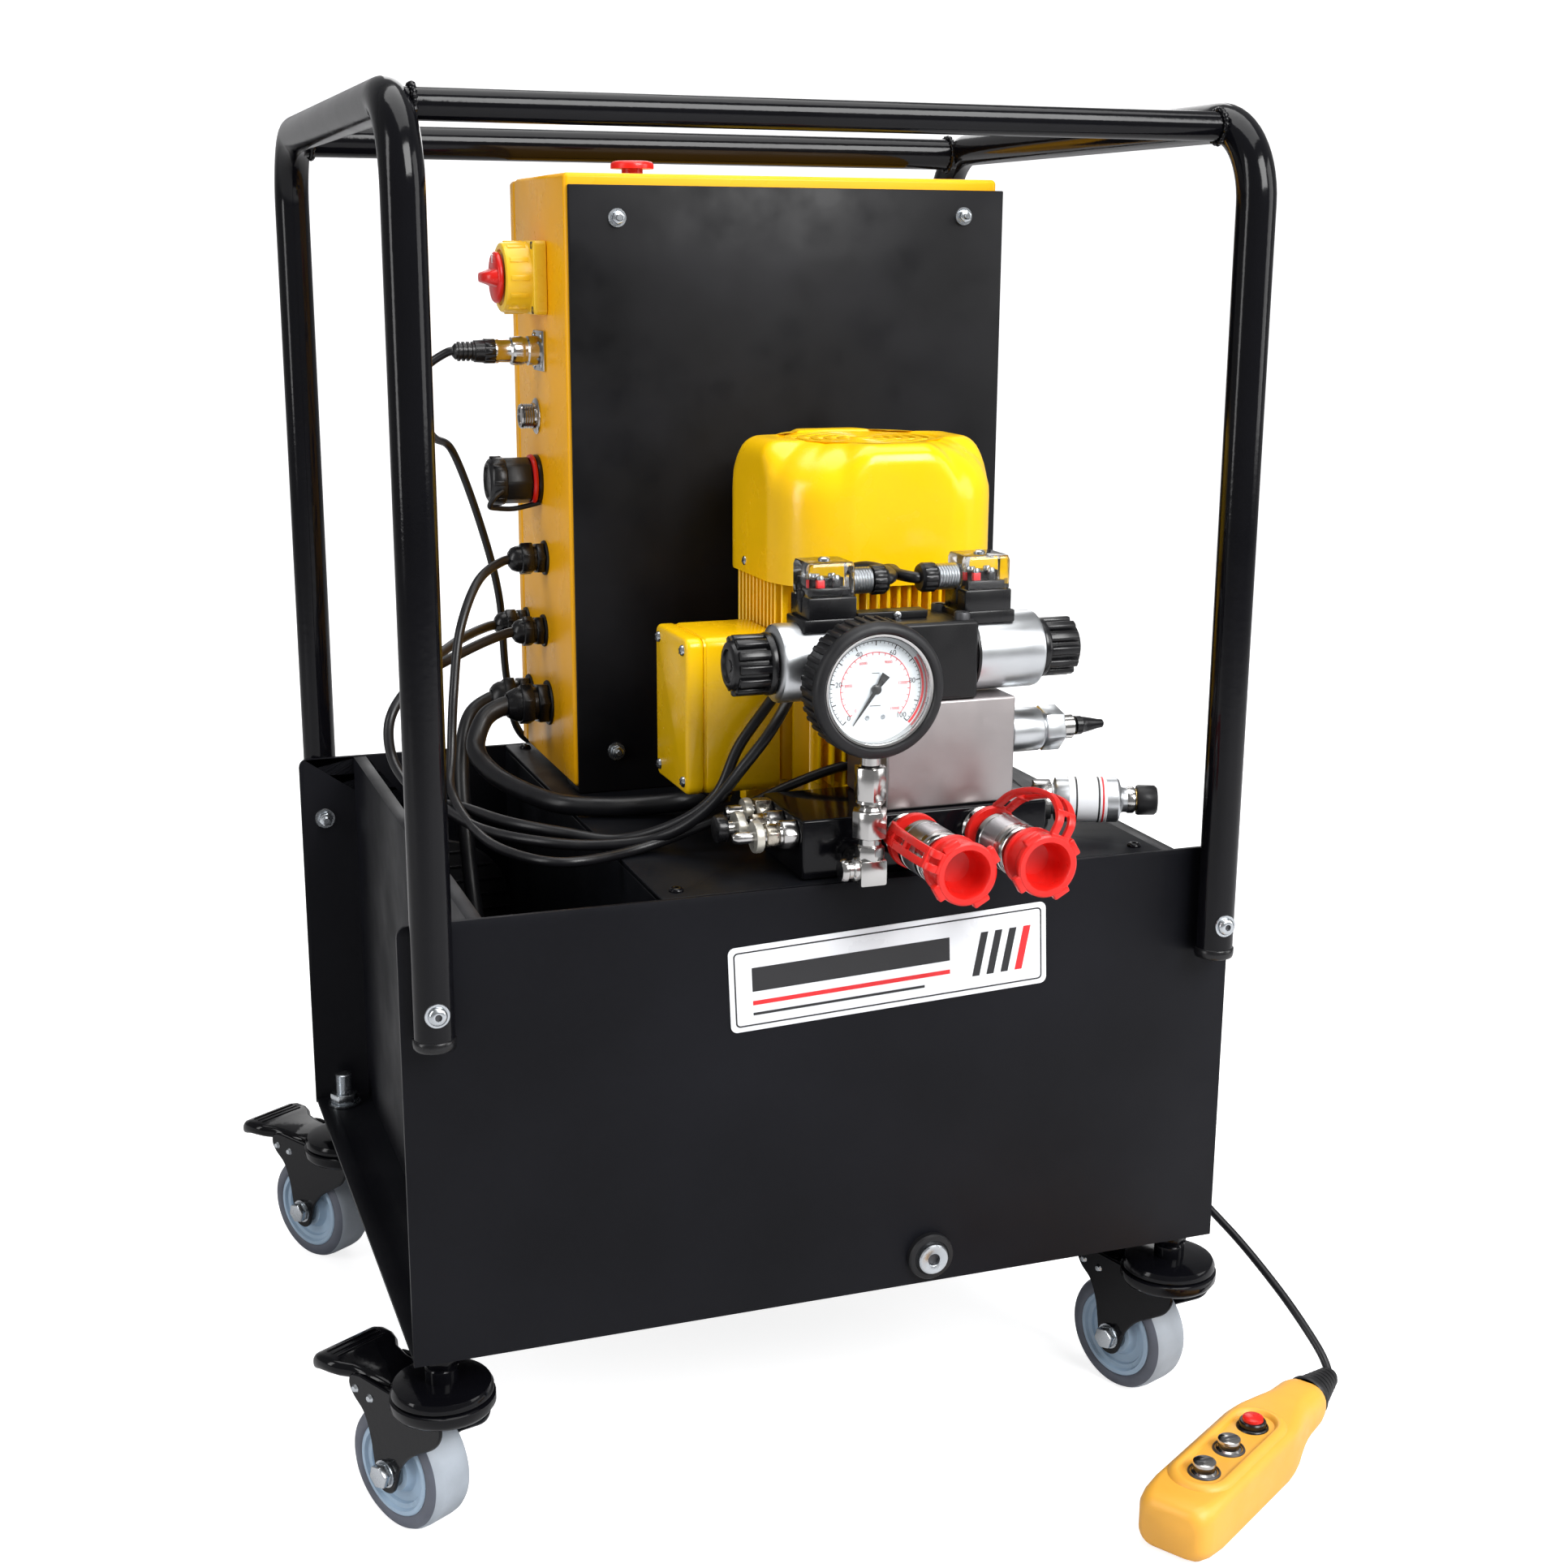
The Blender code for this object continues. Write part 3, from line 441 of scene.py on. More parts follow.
LABEL_RED = finish("red_print", (0.70, 0.015, 0.02), 0.35, grain=600.0, grain_mm=0.008)
DIAL_WHITE = finish("dial_paint", (0.64, 0.68, 0.71), 0.40, mottle=0.02, grain=900.0,
                    grain_mm=0.005)
CHROME = finish("bright_fitting", (0.52, 0.51, 0.50), 0.18, metallic=1.0, mottle=0.02, patch=50.0,
                grain=900.0, grain_mm=0.006, spread=0.02)
ZINC = finish("zinc_plate", (0.54, 0.57, 0.60), 0.26, metallic=1.0, mottle=0.04, patch=60.0,
              grain=1100.0, grain_mm=0.008, spread=0.03)
WHITE_ZINC = finish("pale_knurled_ring", (0.62, 0.60, 0.53), 0.34, metallic=0.6, mottle=0.1,
                    patch=80.0, grain=900.0, grain_mm=0.03)
WARM_STEEL = finish("warm_hex_steel", (0.50, 0.46, 0.39), 0.24, metallic=1.0, mottle=0.12,
                    patch=90.0, grain=700.0, grain_mm=0.02)
BRASS = finish("brass_contact", (0.75, 0.52, 0.2), 0.3, metallic=1.0, grain_mm=0.01)
COIL_STEEL = finish("satin_coil_steel", (0.60, 0.62, 0.64), 0.32, metallic=1.0, mottle=0.03,
                    patch=30.0, grain=1300.0, grain_mm=0.006, spread=0.02)
BLOCK_STEEL = finish("ground_block_steel", (0.39, 0.36, 0.36), 0.45, metallic=1.0, mottle=0.05,
                     patch=30.0, grain=1500.0, grain_mm=0.01, spread=0.03)
# dark iron for hinges, screws and hidden inner parts, and also painted shade in screw slots, socket floors
# and the lock's key slot
DARK_STEEL_AND_SHADE = finish("dark_iron_and_painted_shade", (0.07, 0.07, 0.075), 0.5, metallic=0.6, grain_mm=0.06)
CLEAR_PLASTIC = clear("clear_connector_plastic", (0.90, 0.91, 0.92), 0.06)
GAUGE_GLASS = clear("gauge_window", (0.97, 0.98, 0.98), 0.02)


# ---------------------------------------------------------------- fasteners

def bolt_head(size):
    """A domed head with a hexagon socket."""
    return lathe([(0, size * 0.25), (size * 0.36, size * 0.25), (size * 0.36, size * 0.55),
                  (size * 0.5, size * 0.58), (size * 0.8, size * 0.46), (size * 0.96, size * 0.25),
                  (size, 0.12 * size), (size, 0)], 30)


def hex_solid(across, height, chamfer=0.8):
    """A nut's or bolt head's outside, with its corners turned off at the top."""
    return bevelled(loft([[(x, y, z) for x, y in hexagon(across - cut)]
                          for z, cut in ((0, chamfer), (chamfer / 2, 0), (height - chamfer / 2, 0),
                                         (height, chamfer))]), 0.25, 1, 40)


def threaded(radius, low, high, pitch=1.2):
    """A rod with thread ridges."""
    profile = [(0, low), (radius * 0.9, low)]
    turns = max(2, int((high - low) / pitch))
    for turn in range(turns):
        start = low + (high - low) * turn / turns
        profile += [(radius, start + pitch * 0.4), (radius * 0.87, start + pitch * 0.85)]
    return lathe(profile + [(radius * 0.8, high), (0, high)], 24)


def socket_bolt(piece, at, axis, size):
    """A zinc button-head bolt on its washer."""
    piece.add(lathe([(0, 0), (size * 1.25, 0), (size * 1.3, 0.3), (size * 1.25, 1), (0, 1)], 32),
              ZINC, at, axis)
    start = Vector(at) + Vector(axis) * 1.0
    piece.add(bolt_head(size), ZINC, start, axis)
    # a thin dark hexagon on the floor of the round recess is painted shade standing in for the deep hexagon
    # socket
    socket_shade_at = Vector(at) + Vector(axis) * (1.0 + size * 0.26)
    piece.add(prism(hexagon(size * 0.68), 0, 0.3), DARK_STEEL_AND_SHADE, socket_shade_at, axis)


def stud_and_nut(piece, at, axis, across, reach, spin=12.0):
    piece.add(lathe([(0, 0), (across * 0.8, 0), (across * 0.82, 0.5), (across * 0.78, 1.2), (0, 1.2)],
                    32), ZINC, at, axis)
    piece.add(hex_solid(across, across * 0.5), ZINC, Vector(at) + Vector(axis) * 1.2, axis, spin)
    piece.add(threaded(across * 0.3, 0, reach), ZINC, at, axis)


def pan_screw(piece, at, axis, radius, spin=20.0):
    """A small domed screw with a cross slot."""
    piece.add(lathe([(0, radius * 0.55), (radius * 0.5, radius * 0.52), (radius * 0.9, radius * 0.3),
                     (radius, 0), (0, 0)], 24), ZINC, at, axis)
    # the cross slot is two thin dark bars laid on the dome, painted shade standing in for the recessed slot
    for turn in (0, 90):
        piece.add(block((-radius * 0.6, -radius * 0.12, radius * 0.3),
                        (radius * 0.6, radius * 0.12, radius * 0.58)), DARK_STEEL_AND_SHADE, at, axis, spin + turn)


# ---------------------------------------------------------------- chassis

TUBE_R = 11.0
CAGE_BEND = 45.0
FRONT_RAIL_R, REAR_RAIL_R = 8.0, 10.5
RAIL_SET = 27.0


def chassis():
    softened("chassis_tray", BLACK_SHEET, 0.7)
    softened("oil_tank", BLACK_INNER, 0.6)
    softened("tank_cover", BLACK_INNER, 0.7)

    low, high = span("tank_cover")
    screws = Piece()
    for x in (low.x + 12, high.x - 12):
        for y in (low.y + 12, (low.y + high.y) / 2 + 20, high.y - 12):
            screws.add(bolt_head(4.2), BLACK_GLOSS, (x, y, high.z), UP)
    screws.done("cover_screws")


def weld_bead(radius, thick, seed):
    """A lumpy ring of weld."""
    rings = []
    for i in range(60):
        angle = 2 * math.pi * i / 60
        lump = 1 + 0.25 * math.sin(i * 2.1 + seed) + 0.12 * math.sin(i * 0.9 + 2 * seed)
        points = []
        for x, y in circle(thick * lump, 8):
            reach = radius + x
            points.append((reach * math.cos(angle), reach * math.sin(angle), y))
        rings.append(points)
    return loft(rings + [rings[0]], caps=False)


def cage():
    low, high = span("roll_cage")
    x, y = high.x - TUBE_R, high.y - TUBE_R
    top, foot = high.z - TUBE_R, low.z
    tubes = Piece()
    rail_z = top - 3.0
    for side in (-x, x):
        path = bend([((side, -y, foot), 0), ((side, -y, top), CAGE_BEND), ((side, y, top), CAGE_BEND),
                     ((side, y, foot), 0)], 14)
        tubes.add(pipe(path, TUBE_R, 36), BLACK_GLOSS)
        for post in (-y, y):
            tubes.add(lathe([(0, -2.2), (TUBE_R - 2, -2.2), (TUBE_R + 0.2, -1.2), (TUBE_R + 0.7, 0.5),
                             (TUBE_R + 0.7, 4.0), (TUBE_R + 0.1, 4.6), (TUBE_R - 1, 4.6)], 36),
                      BLACK_PLASTIC, (side, post, foot))
    rails = ((RAIL_SET - y, FRONT_RAIL_R), (y - RAIL_SET, REAR_RAIL_R))
    for place, radius in rails:
        tubes.add(pipe([(-x, place, rail_z), (x, place, rail_z)], radius, 32), BLACK_GLOSS)
        for seed, side in enumerate((-1, 1)):
            tubes.add(weld_bead(radius + 0.8, 1.6, seed + radius), BLACK_GLOSS,
                      (side * (x - TUBE_R + 0.6), place, rail_z), RIGHT)
    tubes.done("cage_tubes", stands_for=("roll_cage",), angle=50)

    bolts = Piece()
    height = foot + 20.0
    panel = span("chassis_tray")
    for side in (-x, x):
        socket_bolt(bolts, (side, -y - TUBE_R + 0.3, height), FRONT, 5.2)
        socket_bolt(bolts, (side, y + TUBE_R - 0.3, height), BACK, 5.2)
        stud_and_nut(bolts, (side, panel[1].y - 3.2, height), FRONT, 8.6, 9.0)
        stud_and_nut(bolts, (side, panel[0].y + 3.2, height), BACK, 8.6, 9.0)
    bolts.done("cage_bolts")


def nameplate():
    """A plain plate with a border and bands, where the maker's sign would be."""
    panel = span("chassis_tray")[0].y
    plate = Piece((29.8, panel - 0.1, 321.9), FRONT)
    tilt = 2.5
    plate.add(prism(rounded(195, 50, 4), 0, 0.8, 0.25), LABEL_WHITE, spin=tilt)
    outer = rounded(189, 44, 2.6)
    inner = rounded(187.4, 42.4, 2.0)
    border = loft([[(px, py, z) for px, py in points]
                   for points, z in ((outer, 0.7), (outer, 1.0), (inner, 1.0), (inner, 0.7))], caps=False)
    plate.add(border, LABEL_BLACK, spin=tilt)
    bands = (((-84, -2), (36, 12), LABEL_BLACK), ((-84, -10), (36, -7.5), LABEL_RED),
             ((-84, -16), (20, -14.5), LABEL_BLACK))
    for (x0, y0), (x1, y1), paint in bands:
        shape = prism([(x0, y0), (x1, y0), (x1, y1), (x0, y1)], 0.75, 1.0)
        plate.add(shape, paint, spin=tilt)
    for k in range(4):
        x = 50 + 9 * k
        shape = prism([(x, -14), (x + 4.5, -14), (x + 10.5, 12), (x + 6, 12)], 0.75, 1.0)
        plate.add(shape, LABEL_RED if k == 3 else LABEL_BLACK, spin=tilt)
    plate.done("nameplate")


def drain_plug():
    plug = Piece((57.5, span("chassis_tray")[0].y, 137.8), FRONT)
    plug.add(lathe([(0, 0), (14.2, 0), (14.2, 3.5), (13.4, 4.6), (10.8, 5.0), (10.2, 4.4), (0, 4.4)], 48),
             BLACK_RUBBER)
    plug.add(lathe([(0, 4.6), (3.8, 4.6), (3.8, 7.8), (4.4, 8.2), (8.6, 8.2), (9.3, 7.4), (9.3, 4), (0, 4)],
                   48), ZINC)
    # a thin dark hexagon on the floor of the plug's round recess is painted shade standing in for its deep
    # hexagon socket
    plug.add(prism(hexagon(7.2), 4.6, 5.0), DARK_STEEL_AND_SHADE)
    plug.done("drain_plug")


# ---------------------------------------------------------------- casters

TREAD_R = 37.5
FORK_X = 16.6        # inner face of the fork plates


def caster(corner):
    stem_at = middle(f"caster_stem_{corner}")
    wheel_at = middle(f"caster_wheel_{corner}")
    angle = math.atan2(stem_at.x - wheel_at.x, wheel_at.y - stem_at.y)
    within = Matrix.Translation((stem_at.x, stem_at.y, 0)) @ Matrix.Rotation(angle, 4, "Z")
    axle = (0, (wheel_at - stem_at).xy.length, wheel_at.z)
    caster_stem(corner, within)
    caster_fork(corner, within, axle)
    caster_wheel(corner, within, axle)
    brake_pedal(corner, within)


def caster_stem(corner, within):
    stem = Piece(within=within)
    stem.add(lathe([(9, 101), (22, 100.6), (27.6, 99), (29, 96.4), (29, 94), (27, 93.7), (0, 93.7)], 48),
             BLACK_GLOSS)
    stem.add(lathe([(0, 110), (8.2, 110), (9.4, 108.6), (9.4, 101), (0, 101)], 36), BLACK_GLOSS)
    stem.add(hex_solid(18, 9.4), BLACK_GLOSS, (0, 0, 110.2), spin=10)
    stem.add(lathe([(0, 123.3), (11.5, 123.3), (11.5, 124.6), (0, 124.6)], 36), ZINC)
    stem.add(hex_solid(17, 7.0), ZINC, (0, 0, 124.6), spin=25)
    stem.add(threaded(5.9, 131, 146), ZINC)
    stem.stand_in(f"caster_stem_{corner}")


def caster_fork(corner, within, axle):
    trail = axle[1]
    fork = Piece(within=within)
    fork.add(lathe([(0, 93.0), (28, 93.0), (30, 91.6), (30, 87.0), (28, 84.0), (22, 81), (0, 81)], 48),
             BLACK_GLOSS)
    side = [(-19, 88.5), (-19, 79), (-14, 70.5), (-4, 63.5), (8, 55.5), (trail - 13, 45), (trail - 9.5, 35),
            (trail - 6, 27.5), (trail, 24.6), (trail + 6, 26.5), (trail + 9, 33), (trail + 10.5, 44),
            (trail + 13, 58), (48, 70), (56, 77), (60, 84), (58, 90), (50, 92)]
    loop = [(p.x, p.y) for p in smooth_path([(*p, 0) for p in side], 4)]
    for x in (-FORK_X - 2.6, FORK_X):
        shape = prism(loop, 0, 2.6, 0.7, 1)
        fork.add(shape, BLACK_GLOSS, (x, 0, 0), RIGHT)
    crown = [(-19, -1.5), (-19, 3.5), (-16, 5.5), (16, 5.5), (19, 3.5), (19, -1.5), (15.5, 2.2),
             (-15.5, 2.2)]
    fork.add(prism(crown, -18, 44, 0.6, 1), BLACK_GLOSS, (0, 0, 84), BACK)
    outer = FORK_X + 2.6
    for x, out in ((-outer, LEFT), (outer, RIGHT)):
        for y, z in ((41, 81), (54, 82.5)):
            fork.add(lathe([(0, 1.8), (1.6, 1.5), (2.6, 0), (0, 0)], 24), ZINC, (x, y, z), out)
        fork.add(lathe([(0, 0), (8.2, 0), (8.2, 1.0), (0, 1.0)], 32), ZINC, (x, *axle[1:]), out)
        fork.add(hex_solid(12.5, 5.2), ZINC, (x + out[0], *axle[1:]), out, 14)
    fork.add(threaded(4.0, 0, 9.5), ZINC, (outer, *axle[1:]), RIGHT)
    fork.stand_in(f"caster_fork_{corner}", 40, moves=True)


def caster_wheel(corner, within, axle):
    wheel = Piece(axle, RIGHT, within=within)
    tread = [(36.0, -12.4), (37.1, -10.4), (TREAD_R, -7), (TREAD_R, 7), (37.1, 10.4), (36.0, 12.4)]
    wheel.add(lathe(tread, 96), GREY_TREAD)
    for flip in (1, -1):
        wall = [(r, flip * z) for r, z in ((36.02, 12.4), (34, 13.8), (31, 14.2), (29, 13.9), (28.0, 13.0))]
        wheel.add(lathe(wall, 96), DARK_TREAD)
        hub = [(r, flip * z) for r, z in (
            (28.2, 13.4), (27.4, 14.0), (25.2, 14.0), (24.2, 12.0), (22.8, 11.4), (21.6, 11.4), (20.8, 9.8),
            (15.5, 9.4), (14.2, 10.6), (12.6, 13.8), (9.6, 14.3), (8.8, 13.6), (4.4, 13.6))]
        wheel.add(lathe(hub, 72), BLUE_HUB)
    wheel.stand_in(f"caster_wheel_{corner}", moves=True)


def brake_pedal(corner, within):
    pedal = Piece(within=within)
    rows = []
    for y, half, z0, z1, r in ((31, 13, 85.0, 91.0, 2), (33, 14.6, 84.6, 92.0, 3), (48, 15.6, 84.6, 93.2, 4),
                               (60, 18, 85.2, 94.0, 4), (66, 22.4, 86.0, 94.8, 4), (72, 24.4, 86.4, 95.6, 4),
                               (80, 24.6, 85.8, 95.6, 4), (86, 23.6, 84.0, 94.0, 4), (90, 21, 82.2, 91.4, 4),
                               (92, 17, 81.6, 88.6, 3)):
        section = rounded(2 * half, z1 - z0, min(r, (z1 - z0) / 2 - 0.1), 4)
        rows.append([(px, y, (z0 + z1) / 2 + pz) for px, pz in section])
    pedal.add(loft(rows), BLACK_GLOSS)
    for k in range(3):
        pedal.add(block((-18, 71 + 4.4 * k, 94.8), (18, 72.6 + 4.4 * k, 96.2), 0.6), BLACK_GLOSS)
    pedal.stand_in(f"brake_pedal_{corner}", 50, moves=True)


# ---------------------------------------------------------------- motor

FIN_STEP, FIN_T = 6.6, 2.2
FIN_ROOT_R = 56
HOOD_POINTS = 144


def smooth(value, low, high):
    """0 below low and 1 above high, with a soft step between."""
    share = min(max((value - low) / (high - low), 0.0), 1.0)
    return share * share * (3 - 2 * share)


def hood_ring(half, corner, z, top):
    """One level of the cowl: flat arched faces that stand proud of softer, set-in corners."""
    points = []
    for i in range(HOOD_POINTS):
        angle = 2 * math.pi * i / HOOD_POINTS
        c, s = abs(math.cos(angle)), abs(math.sin(angle))
        flat = half - corner
        reach = half / max(c, s)
        if min(c, s) * reach > flat:
            along = flat * (c + s)
            reach = along + math.sqrt(max(along * along - 2 * flat * flat + corner * corner, 0))
        bay = math.degrees(angle) % 90
        away = min(bay, 90 - bay)
        shoulder = 12 + 20 * smooth(away, 14, 32)
        into = max(z - (top - shoulder), 0.0)
        inset = shoulder - math.sqrt(max(shoulder ** 2 - into ** 2, 0.0))
        inset += 1.1 * smooth(away, 23, 29)
        reach -= inset / max(c, s)
        points.append((reach * math.cos(angle), reach * math.sin(angle), z))
    return points


def motor():
    motor_housing()
    fan_cowl()
    terminal_box()
    carry("motor_rotor", DARK_STEEL_AND_SHADE)
    carry("pump_body", DARK_STEEL_AND_SHADE)


def motor_housing():
    low, high = span("motor_housing")
    at = (low + high) / 2
    base, top = low.z, high.z
    cowl_low = span("fan_cowl")[0]
    shell = Piece((at.x, at.y, 0))
    shell.add(lathe([(68.5, base), (69, base + 1), (69, base + 13), (68, base + 14.5), (63, base + 16),
                     (60, base + 22), (59, base + 30), (59, cowl_low.z + 18)], 72), YELLOW_ENAMEL)
    outer = 66.5
    for k in range(-7, 8):
        place = k * FIN_STEP
        inside = math.sqrt(FIN_ROOT_R ** 2 - place ** 2)
        reach = outer if abs(place) < 34 else outer - (abs(place) - 34) ** 1.6 * 0.13
        for turn in range(4):
            fin = block((inside, place - FIN_T / 2, base + 33), (reach, place + FIN_T / 2, cowl_low.z + 10),
                        0.8, 1)
            shell.add(fin, YELLOW_ENAMEL, spin=90 * turn)
    for turn in range(4):
        spin = 45 + 90 * turn
        boss = lathe([(0, base + 14), (7.6, base + 14), (8.2, base + 16), (8.2, base + 26),
                      (7, base + 28), (7, cowl_low.z + 6), (0, cowl_low.z + 6)], 28)
        shell.add(boss, YELLOW_ENAMEL, (61 * math.cos(math.radians(spin)),
                                        61 * math.sin(math.radians(spin)), 0))
        lug = prism(rounded(30, 26, 6), base + 0.2, base + 13, 1.4)
        shell.add(lug, YELLOW_ENAMEL, (62 * math.cos(math.radians(spin)),
                                       62 * math.sin(math.radians(spin)), 0), spin=spin)
        bolt_at = (67 * math.cos(math.radians(spin)), 67 * math.sin(math.radians(spin)), base + 13)
        shell.add(bolt_head(5.6), ZINC, bolt_at)
    feet = block((-34, -68.5, base + 26), (34, -57, base + 34), 1.6)
    shell.add(feet, YELLOW_ENAMEL)
    for x in (-26, -9, 9, 26):
        shell.add(block((x - 4.5, -68.5, base + 14), (x + 4.5, -58, base + 27), 1.2), YELLOW_ENAMEL)
    shell.add(lathe([(58, cowl_low.z + 14), (56, top), (12, top)], 64), YELLOW_ENAMEL)
    shell.stand_in("motor_housing", 40)


def fan_cowl():
    at = middle("motor_housing")
    cowl_low, cowl_high = span("fan_cowl")
    half = (cowl_high.x - cowl_low.x) / 2
    top = cowl_high.z
    levels = [cowl_low.z, cowl_low.z + 2, cowl_low.z + 8, cowl_low.z + 20, cowl_low.z + 34]
    levels += [top - 34, top - 28, top - 22, top - 17, top - 12, top - 9, top - 6, top - 4, top - 2.4,
               top - 1.2, top - 0.4]
    rings = [hood_ring(half, 40, z, top) for z in levels]
    for radius, z in ((51, top - 0.4), (49.5, top - 1.4), (48.5, top - 3.5)):
        rings.append([(x, y, z) for x, y in circle(radius, HOOD_POINTS)])
    inner = [[(x * 0.97, y * 0.97, z - 2) for x, y, z in rings[k]] for k in (10, 5)]
    inner.append([(x * 0.97, y * 0.97, z) for x, y, z in rings[0]])
    hood = Piece((at.x, at.y, 0))
    hood.add(loft(rings + inner + [rings[0]], caps=False), YELLOW_ENAMEL)
    for radius in (12, 20, 28, 36, 44):
        ring = [(radius - 2.4, top - 2.6), (radius - 2.0, top - 1.4), (radius + 2.0, top - 1.4),
                (radius + 2.4, top - 2.6), (radius + 2.2, top - 4), (radius - 2.2, top - 4),
                (radius - 2.4, top - 2.6)]
        hood.add(lathe(ring, 72), YELLOW_ENAMEL)
    hood.add(lathe([(0, top - 1.0), (5.5, top - 1.2), (6.4, top - 2.4), (6.4, top - 4), (0, top - 4)], 40),
             YELLOW_ENAMEL)
    for spoke in range(8):
        hood.add(block((4, -2.2, top - 3.8), (49.5, 2.2, top - 1.7), 0.6, 1), YELLOW_ENAMEL,
                 spin=45 * spoke + 22.5)
    for turn in range(4):
        angle = math.radians(90 * turn)
        for place in (-10, 34):
            x, y = half - 0.4, place
            spot = (x * math.cos(angle) - y * math.sin(angle), x * math.sin(angle) + y * math.cos(angle),
                    cowl_low.z + 7)
            if place == -10 or turn % 2:
                pan_screw(hood, spot, (math.cos(angle), math.sin(angle), 0), 3.0)
    hood.stand_in("fan_cowl", 40)


def terminal_box():
    low, high = span("terminal_box")
    lid = 11.0
    centre = (low + high) / 2
    size = high - low
    box = Piece((0, centre.y, centre.z))
    outline = rounded(size.y, size.z, 6)
    box.add(prism(outline, low.x + lid + 0.9, high.x, 1.6), YELLOW_ENAMEL, axis=RIGHT)
    box.add(prism(rounded(size.y - 1.4, size.z - 1.4, 5.4), low.x + lid - 0.2, low.x + lid + 1.2),
            YELLOW_ENAMEL, axis=RIGHT)
    box.add(prism(outline, low.x, low.x + lid, 2.6, 3), YELLOW_ENAMEL, axis=RIGHT)
    for y in (-1, 1):
        for z in (-1, 1):
            spot = (low.x - 0.1, y * (size.y / 2 - 7.5), z * (size.z / 2 - 7.5))
            pan_screw(box, spot, LEFT, 3.4, spin=35 * y + 10 * z)
    box.add(block((high.x - 12, -22, -26), (high.x + 14, 22, 26), 3), YELLOW_ENAMEL)
    box.stand_in("terminal_box", 40)


def carry(node, paint):
    """Keeps a CAD node as it is, in a finished material."""
    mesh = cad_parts[node].data
    mesh.materials.clear()
    mesh.materials.append(paint)


# ---------------------------------------------------------------- valve stack

def valve_stack():
    manifold()
    valve_body()
    carry("valve_spool", CHROME)
    for side, axis in (("left", LEFT), ("right", RIGHT)):
        solenoid(side, axis, middle("valve_spool"))


def manifold():
    softened("manifold_base", BLACK_GLOSS, 0.8)
    low, high = span("manifold_block")
    softened("manifold_block", BLOCK_STEEL, 0.7)
    marks = Piece()
    marks.add(lathe([(0, 0.15), (2.0, 0.15), (2.0, -1), (0, -1)], 24), DARK_STEEL_AND_SHADE,
              (low.x + 7, low.y, high.z - 7), FRONT)
    for x in (low.x + 9, high.x - 9):
        marks.add(lathe([(4.8, 0), (4.8, 0.3), (3.0, 0.3), (3.0, 0)], 32), DARK_STEEL_AND_SHADE,
                  (x, high.y - 10, high.z), UP)
    marks.done("block_marks")


def valve_body():
    low, high = span("valve_body")
    softened("valve_body", BLACK_CAST, 1.0)
    spool = middle("valve_spool")
    top = Piece()
    bar = block((low.x + 5, spool.y - 5, high.z), (high.x - 24, spool.y + 7, high.z + 4.5), 0.8)
    top.add(bar, BLACK_CAST)
    for x in (low.x + 8, high.x - 8):
        for y in (low.y + 7, high.y - 7):
            top.add(lathe([(0, 0.6), (2.4, 0.6), (2.4, 3.8), (4.0, 4.2), (4.6, 3.4), (4.6, -0.5),
                           (0, -0.5)], 30), DARK_STEEL_AND_SHADE, (x, y, high.z))
    pan_screw(top, (43, spool.y - 5, high.z + 2), FRONT, 2.6)
    top.done("valve_top", angle=40)


PLUG_X = {"left": 0.5, "right": 95.0}


def solenoid(side, axis, spool):
    low, high = span(f"solenoid_coil_{side}")
    radius = (high.z - low.z) / 2
    coil_barrel(side, axis, spool, radius)
    coil_knob(side, axis, spool)
    coil_plug(side, Vector((PLUG_X[side], spool.y, spool.z + radius)))


def coil_barrel(side, axis, spool, radius):
    low, high = span(f"solenoid_coil_{side}")
    length = high.x - low.x
    near = high.x if axis == LEFT else low.x
    coil = Piece((near, spool.y, spool.z), axis)
    coil.add(lathe([(radius - 4, 0), (radius - 1.4, 0), (radius - 0.4, 0.8), (radius, 2.4),
                    (radius, length - 3.6), (radius - 0.5, length - 1.8), (radius - 2.4, length - 0.4),
                    (radius - 6, length), (9, length)], 72), COIL_STEEL)
    coil.add(lathe([(radius - 1, 0.2), (radius + 0.4, 0.4), (radius + 0.6, 1.4), (radius + 0.2, 2.2),
                    (radius - 1, 2.3)], 72), BLACK_PLASTIC)
    coil.stand_in(f"solenoid_coil_{side}")


def coil_knob(side, axis, spool):
    low, high = span(f"solenoid_cap_{side}")
    near = high.x if axis == LEFT else low.x
    reach = high.x - low.x
    knob = Piece((near, spool.y, spool.z), axis)
    knob.add(lathe([(8, 0), (16.6, 0), (17.6, 0.8), (17.8, 2.6), (17.2, 4.2), (14.8, 5)], 60),
             BLACK_PLASTIC)
    for k in range(12):
        rib = [(-3.0, 13.2), (-2.6, 16.2), (-1.8, 17.2), (1.8, 17.2), (2.6, 16.2), (3.0, 13.2)]
        knob.add(prism(rib, 4, reach - 2.6, 0.7, 2), BLACK_PLASTIC, spin=30 * k)
    knob.add(lathe([(14.2, 4), (14.2, reach - 3), (13.4, reach - 0.8), (12, reach), (9.6, reach),
                    (8.6, reach - 1.4), (0, reach - 1.4)], 60), BLACK_PLASTIC)
    knob.add(lathe([(0, reach - 0.9), (3.2, reach - 0.9), (3.6, reach - 1.5)], 30), BLACK_PLASTIC)
    knob.stand_in(f"solenoid_cap_{side}", 40)


